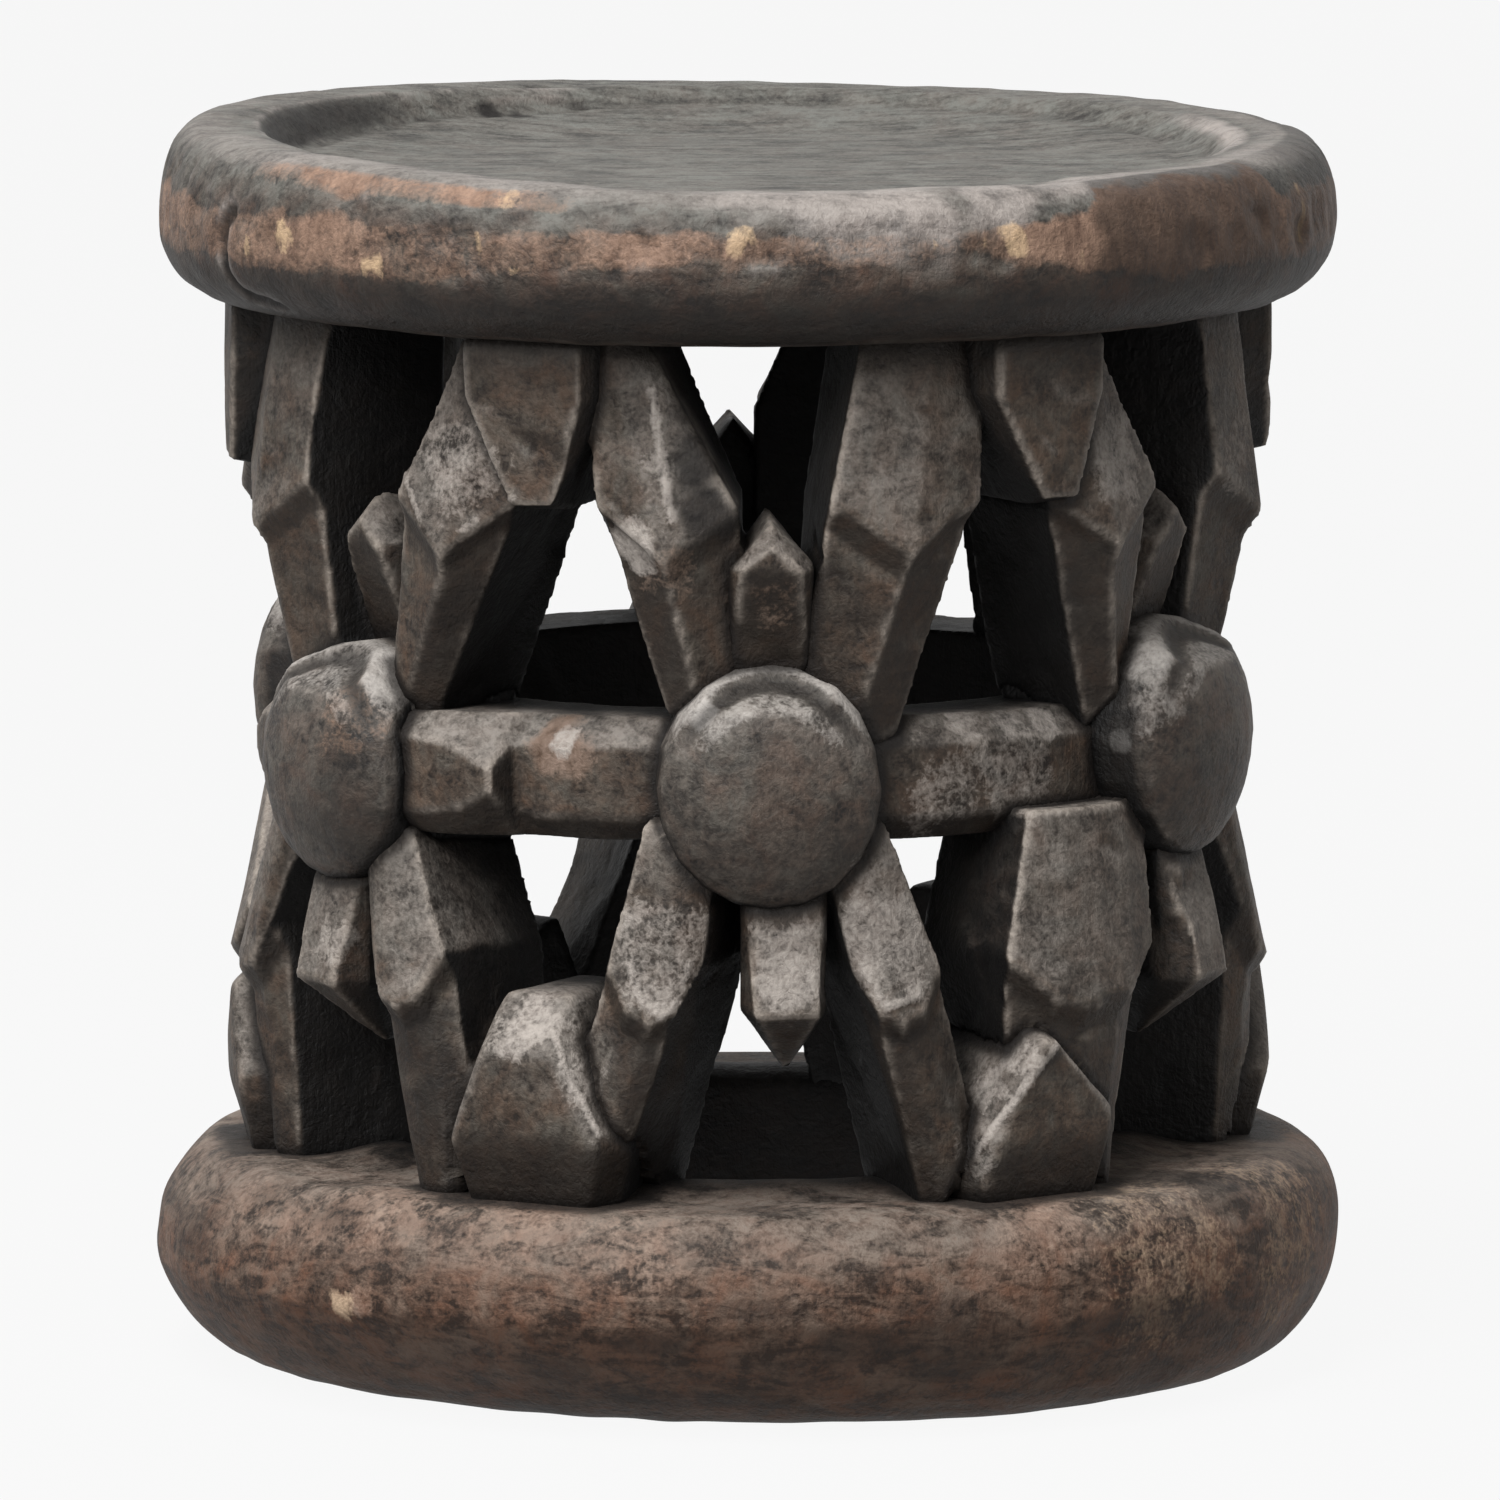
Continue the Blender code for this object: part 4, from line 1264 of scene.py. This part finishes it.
@dataclass
class Chunk:
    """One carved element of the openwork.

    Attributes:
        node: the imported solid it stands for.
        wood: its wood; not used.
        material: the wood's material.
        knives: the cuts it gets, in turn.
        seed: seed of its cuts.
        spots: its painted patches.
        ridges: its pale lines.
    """

    node: str
    wood: Wood
    material: bpy.types.Material
    knives: list[Knife]
    seed: int
    spots: tuple[Spot, ...]
    ridges: tuple[Ridge, ...]

    def build(self, blocks: Blocks) -> Carving:
        """Carves the element.

        Args:
            blocks: the fine blocks.

        Returns:
            The carving.
        """
        carving = blocks.block(self.node)
        if self.node.startswith("bottom_knob"):
            self.round_foot(carving)
        carving.sway(0.045, 0.0014, 81)
        for index, knife in enumerate(self.knives):
            carving.cut(knife, self.seed * 10 + index)
        carving.ripple(0.010, 0.00022, 91)
        return carving

    def round_foot(self, carving: Carving) -> None:
        """Rounds a tooth that stands on the base, and draws in its foot.

        Args:
            carving: the block of the tooth.
        """
        carving.relax(0.5, 5)
        share = 0.16 * (1.0 - ramp(carving.points[:, 2], 0.064, 0.090))
        inward = carving.points[:, :2].mean(axis=0) - carving.points[:, :2]
        carving.points[:, :2] += inward * share[:, None]

    def dress(self, carving: Carving, blocks: Blocks) -> bpy.types.Object:
        """Paints the element and shows it.

        Args:
            carving: the carved element.
            blocks: the fine blocks, which know its neighbours.

        Returns:
            The piece.
        """
        carving.age()
        # painted shade beside neighbouring pieces, fed to the hollow and stain masks
        near_shade = blocks.contact_shade(carving, self.node, 0.006)
        carving.masks[Mask.CREASE] = np.maximum(carving.masks[Mask.CREASE], ramp(near_shade, 0.10, 0.70))
        heights = carving.points[:, 2]
        # painted shadow under the seat on the tops of the pieces, and darker towards the base
        ends = np.maximum(0.55 * ramp(heights, 0.302, 0.325), 0.40 * (1.0 - ramp(heights, 0.066, 0.088)))
        carving.masks[Mask.STAIN_AND_SHADE] = np.maximum(0.9 * ramp(near_shade, 0.40, 0.90), ends)
        carving.masks[Mask.WEAR] *= 1.0 - ramp(near_shade, 0.30, 0.70)
        if self.node.endswith("_body"):
            self.collar(carving)
        carving.paint(self.spots)
        carving.line(self.ridges)
        return carving.show(self.node + "_carved", self.node, self.material)

    def collar(self, carving: Carving) -> None:
        """Cuts the groove over a body's dome with painted shade in it, rubs the collar above it and paints a
        highlight on the dome's brow.

        Args:
            carving: the carved body.
        """
        points = carving.points
        centre = points.mean(axis=0)
        turn = math.atan2(centre[0], -centre[1])
        low, high = points[:, 2].min(), points[:, 2].max()
        rise = (2.0 * points[:, 2] - low - high) / (high - low)
        side = points @ np.array([math.cos(turn), math.sin(turn), 0.0]) / BODY_HALF_WIDTH
        out = points @ np.array([math.sin(turn), -math.cos(turn), 0.0])
        ring = np.hypot(rise, side)
        upper = ramp(rise / np.maximum(ring, 0.001), 0.25, 0.70) * ramp(out, 0.132, 0.140)
        groove = (1.0 - ramp(np.abs(ring - 0.86), 0.02, 0.09)) * upper
        carving.points -= carving.normals() * (0.0013 * groove)[:, None]
        rubbed = ramp(ring, 0.90, 0.96) * upper * 0.75
        # painted highlight along the top edge of the dome
        brow_highlight = (1.0 - ramp(np.abs(ring - 0.72), 0.04, 0.14)) * upper * 0.45
        carving.masks[Mask.PALE] = np.maximum(rubbed, brow_highlight)
        # painted shade in the groove
        carving.masks[Mask.STAIN_AND_SHADE] = np.maximum(carving.masks[Mask.STAIN_AND_SHADE] * (1.0 - rubbed), 0.75 * groove)


@dataclass
class Openwork:
    """The drum between seat and base: six spiders, twelve teeth and the band.

    Attributes:
        broad: broad cuts of one element.
        fine: small cuts of one element.
        spots: its painted patches.
        ridges: its pale lines.
    """

    broad: Knife = Knife(8, 0.016, 0.0006, 0.04)
    fine: Knife = Knife(20, 0.006, 0.0003, 0.06)
    # the stain spots are painted shade on listed facets turned from the light and on leg tops under the seat
    spots: tuple[Spot, ...] = (
        Spot((-0.0345, -0.1492, 0.2663), 0.012, Mask.PALE, 0.85),
        Spot((-0.0255, -0.1520, 0.2900), 0.010, Mask.PALE, 0.35),
        Spot((-0.1212, -0.1081, 0.2083), 0.020, Mask.SCUFF, 0.40),
        Spot((-0.1217, -0.0849, 0.2250), 0.018, Mask.PALE, 0.50),
        Spot((0.1225, -0.0996, 0.2132), 0.020, Mask.PALE, 0.45),
        Spot((0.1117, -0.0985, 0.2016), 0.006, Mask.PALE, 1.0),
        Spot((-0.0557, -0.1287, 0.2035), 0.014, Mask.SCUFF, 1.0),
        Spot((-0.0557, -0.1287, 0.2055), 0.006, Mask.PALE, 0.9),
        Spot((0.0636, -0.1193, 0.2092), 0.008, Mask.PALE, 0.6),
        Spot((0.0765, -0.1120, 0.2082), 0.008, Mask.PALE, 0.8),
        Spot((0.0893, -0.1041, 0.2072), 0.008, Mask.PALE, 0.9),
        Spot((-0.0285, -0.1535, 0.1470), 0.026, Mask.PALE, 0.45),
        Spot((0.0418, -0.1498, 0.1491), 0.024, Mask.PALE, 0.65),
        Spot((0.0130, -0.1565, 0.1410), 0.020, Mask.PALE, 0.65),
        Spot((-0.0860, -0.1291, 0.2895), 0.024, Mask.PALE, 0.50),
        Spot((0.1101, -0.1083, 0.2870), 0.018, Mask.PALE, 0.60),
        Spot((0.1344, -0.0547, 0.2731), 0.008, Mask.PALE, 0.40),
        Spot((0.1489, -0.0434, 0.2825), 0.018, Mask.PALE, 0.35),
        Spot((-0.0503, -0.1483, 0.1051), 0.014, Mask.PALE, 0.45),
        Spot((-0.1263, -0.0938, 0.1394), 0.012, Mask.PALE, 0.45),
        Spot((-0.0134, -0.1579, 0.2164), 0.006, Mask.PALE, 1.0),
        Spot((-0.0240, -0.1530, 0.2590), 0.014, Mask.SCUFF, 0.45),
        Spot((0.0095, -0.1500, 0.2480), 0.012, Mask.SCUFF, 0.40),
        Spot((-0.0165, -0.1480, 0.3070), 0.012, Mask.STAIN_AND_SHADE, 0.85),
        Spot((0.0590, -0.1270, 0.1900), 0.022, Mask.PALE, 0.42),
        Spot((0.0800, -0.1150, 0.1920), 0.022, Mask.PALE, 0.48),
        Spot((-0.1180, -0.0980, 0.1820), 0.030, Mask.STAIN_AND_SHADE, 0.45),
        Spot((-0.0130, -0.1520, 0.2920), 0.013, Mask.STAIN_AND_SHADE, 0.90),
        Spot((-0.0120, -0.1545, 0.2760), 0.013, Mask.STAIN_AND_SHADE, 0.90),
        Spot((-0.0962, -0.1195, 0.1100), 0.018, Mask.STAIN_AND_SHADE, 0.72),
        Spot((-0.0940, -0.1200, 0.0930), 0.018, Mask.STAIN_AND_SHADE, 0.72),
        Spot((0.0605, -0.1367, 0.1032), 0.018, Mask.STAIN_AND_SHADE, 0.45),
        Spot((-0.0323, -0.1494, 0.1052), 0.014, Mask.STAIN_AND_SHADE, 0.40),
        Spot((0.0909, -0.1100, 0.2450), 0.016, Mask.STAIN_AND_SHADE, 0.45),
        Spot((-0.0839, -0.1202, 0.2450), 0.016, Mask.STAIN_AND_SHADE, 0.45),
        Spot((-0.0653, -0.1387, 0.1202), 0.014, Mask.PALE, 0.65),
        Spot((-0.0743, -0.1391, 0.1157), 0.010, Mask.PALE, 0.50),
        Spot((0.0816, -0.1306, 0.1084), 0.010, Mask.PALE, 0.55),
        Spot((0.0726, -0.1287, 0.0990), 0.010, Mask.PALE, 0.55),
        Spot((0.0666, -0.1365, 0.0789), 0.009, Mask.PALE, 0.50),
        Spot((-0.0365, -0.1508, 0.1190), 0.010, Mask.STAIN_AND_SHADE, 0.55),
        Spot((0.0514, -0.1452, 0.1167), 0.012, Mask.STAIN_AND_SHADE, 0.60),
    )
    ridges: tuple[Ridge, ...] = (
        Ridge(((-0.0286, -0.1478, 0.3126), (-0.0262, -0.1513, 0.2950), (-0.0226, -0.1553, 0.2746)), 0.85),
        Ridge(((-0.1025, -0.1136, 0.2834), (-0.0982, -0.1214, 0.2720), (-0.0940, -0.1240, 0.2630)), 0.60),
        Ridge(((-0.0940, -0.1240, 0.2630), (-0.0830, -0.1335, 0.2704), (-0.0700, -0.1440, 0.2800)), 0.60),
        Ridge(((-0.0358, -0.1516, 0.1403), (-0.0322, -0.1551, 0.1303), (-0.0257, -0.1572, 0.1252)), 0.80),
        Ridge(((-0.0257, -0.1572, 0.1252), (-0.0203, -0.1564, 0.1305), (-0.0173, -0.1545, 0.1407)), 0.80),
        Ridge(((0.0334, -0.1513, 0.1403), (0.0409, -0.1534, 0.1276), (0.0514, -0.1495, 0.1309)), 0.80),
        Ridge(((-0.0578, -0.1445, 0.1181), (-0.0547, -0.1483, 0.1081), (-0.0449, -0.1510, 0.0888)), 0.85),
        Ridge(((0.0930, -0.1301, 0.1129), (0.0845, -0.1356, 0.1031), (0.0666, -0.1365, 0.0789)), 0.80),
    )

    def nodes(self) -> list[str]:
        """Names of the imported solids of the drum.

        Returns:
            The names, sorted.
        """
        return sorted(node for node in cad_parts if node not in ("seat", "base"))

    def build(self, blocks: Blocks) -> list[bpy.types.Object]:
        """Carves and shows every element.

        Args:
            blocks: where the fine blocks are cut.

        Returns:
            The pieces.
        """
        names = self.nodes()
        blocks.cut_from(names)
        dark = OPENWORK_WOOD.material()
        handled = BODY_WOOD.material()
        pieces = []
        for seed, node in enumerate(names):
            is_body = node.endswith("_body")
            wood = BODY_WOOD if is_body else OPENWORK_WOOD
            material = handled if is_body else dark
            chunk = Chunk(node, wood, material, [self.broad, self.fine], seed, self.spots, self.ridges)
            pieces.append(chunk.dress(chunk.build(blocks), blocks))
        return pieces


@dataclass(frozen=True)
class Lamp:
    """A soft lamp.

    Attributes:
        name: its name.
        place: where it stands, in metres.
        size: its side in metres.
        power: its power in watts.
    """

    name: str
    place: tuple[float, float, float]
    size: float
    power: float

    def build(self, target: Vector) -> bpy.types.Object:
        """Adds the lamp.

        Args:
            target: where it points.

        Returns:
            The lamp.
        """
        data = bpy.data.lights.new(self.name, "AREA")
        data.size = self.size
        data.energy = self.power
        lamp = bpy.data.objects.new(self.name, data)
        lamp.location = self.place
        lamp.rotation_mode = "QUATERNION"
        lamp.rotation_quaternion = (target - Vector(self.place)).to_track_quat("-Z", "Y")
        bpy.context.scene.collection.objects.link(lamp)
        return lamp


@dataclass
class Studio:
    """A plain pale room with soft light from above, and the camera.

    Attributes:
        lamps: the soft lamps.
        sky: strength of the even light from all round.
        eye: place of the camera.
        aim: where it looks.
        lens: focal length in millimetres.
    """

    lamps: tuple[Lamp, ...] = (
        Lamp("top_lamp", (-0.6, -0.9, 2.4), 1.4, 58.0),
        Lamp("front_lamp", (-1.1, -2.6, 2.0), 1.1, 54.0),
    )
    sky: float = 0.15
    eye: tuple[float, float, float] = (0.0, -5.0, 0.86)
    aim: tuple[float, float, float] = (0.0006, 0.0, 0.1846)
    lens: float = 394.0

    def seen(self, graph: Graph) -> Sock:
        """Tells rays that show the background from rays that light the object.

        Args:
            graph: the graph that asks.

        Returns:
            1 for a ray that shows the background, 0 for other rays.
        """
        paths = [
            graph.node("ShaderNodeLightPath", {}, {}, name)
            for name in ("Is Camera Ray", "Is Glossy Ray", "Is Transmission Ray")
        ]
        return (paths[0] + paths[1] + paths[2]).clipped()

    def floor(self) -> bpy.types.Object:
        """Lays the floor.

        Returns:
            The floor.
        """
        mesh = bpy.data.meshes.new("floor")
        side = 30.0
        level = -0.0006
        corners = [(-side, -side, level), (side, -side, level), (side, side, level), (-side, side, level)]
        mesh.from_pydata(corners, [], [(0, 1, 2, 3)])
        material = bpy.data.materials.new("floor")
        material.use_nodes = True
        graph = Graph(material.node_tree)
        matte = graph.node("ShaderNodeBsdfDiffuse", {}, {"Color": (0.25, 0.25, 0.25, 1.0)})
        white = graph.node("ShaderNodeEmission", {}, {"Color": (1.0, 1.0, 1.0, 1.0), "Strength": 1.0})
        mixed = graph.node("ShaderNodeMixShader", {}, {0: self.seen(graph) * 0.92, 1: matte, 2: white})
        graph.node("ShaderNodeOutputMaterial", {}, {"Surface": mixed})
        mesh.materials.append(material)
        floor = bpy.data.objects.new("floor", mesh)
        bpy.context.scene.collection.objects.link(floor)
        return floor

    def world(self) -> None:
        """Sets the even light and the white background."""
        scene = bpy.context.scene
        scene.world = bpy.data.worlds.new("studio")
        scene.world.use_nodes = True
        graph = Graph(scene.world.node_tree)
        white = (1.0, 1.0, 1.0, 1.0)
        soft = graph.node("ShaderNodeBackground", {}, {"Color": white, "Strength": self.sky})
        plain = graph.node("ShaderNodeBackground", {}, {"Color": white, "Strength": 1.0})
        light = graph.node("ShaderNodeMixShader", {}, {0: self.seen(graph), 1: soft, 2: plain})
        graph.node("ShaderNodeOutputWorld", {}, {"Surface": light})

    def build(self) -> None:
        """Sets up the room, the lamps and the camera."""
        scene = bpy.context.scene
        self.floor()
        self.world()
        target = Vector(self.aim)
        for lamp in self.lamps:
            lamp.build(target)
        data = bpy.data.cameras.new("camera")
        data.lens = self.lens
        data.sensor_width = 36.0
        data.clip_end = 60.0
        camera = bpy.data.objects.new("camera", data)
        camera.location = self.eye
        camera.rotation_mode = "QUATERNION"
        camera.rotation_quaternion = (target - Vector(self.eye)).to_track_quat("-Z", "Y")
        scene.collection.objects.link(camera)
        scene.camera = camera
        scene.view_settings.view_transform = "Standard"


def main() -> None:
    """Builds the stool and its studio."""
    logging.basicConfig(level=logging.INFO)
    blocks = Blocks(FINE_VOXEL)
    seat = Seat()
    base = Base()
    pieces = [seat.dress(seat.build()), base.dress(base.build(), blocks)]
    pieces += Openwork().build(blocks)
    Studio().build()
    for piece in pieces:
        LOG.info("%s: %d faces", piece.name, len(piece.data.polygons))


if __name__ == "__main__":
    main()
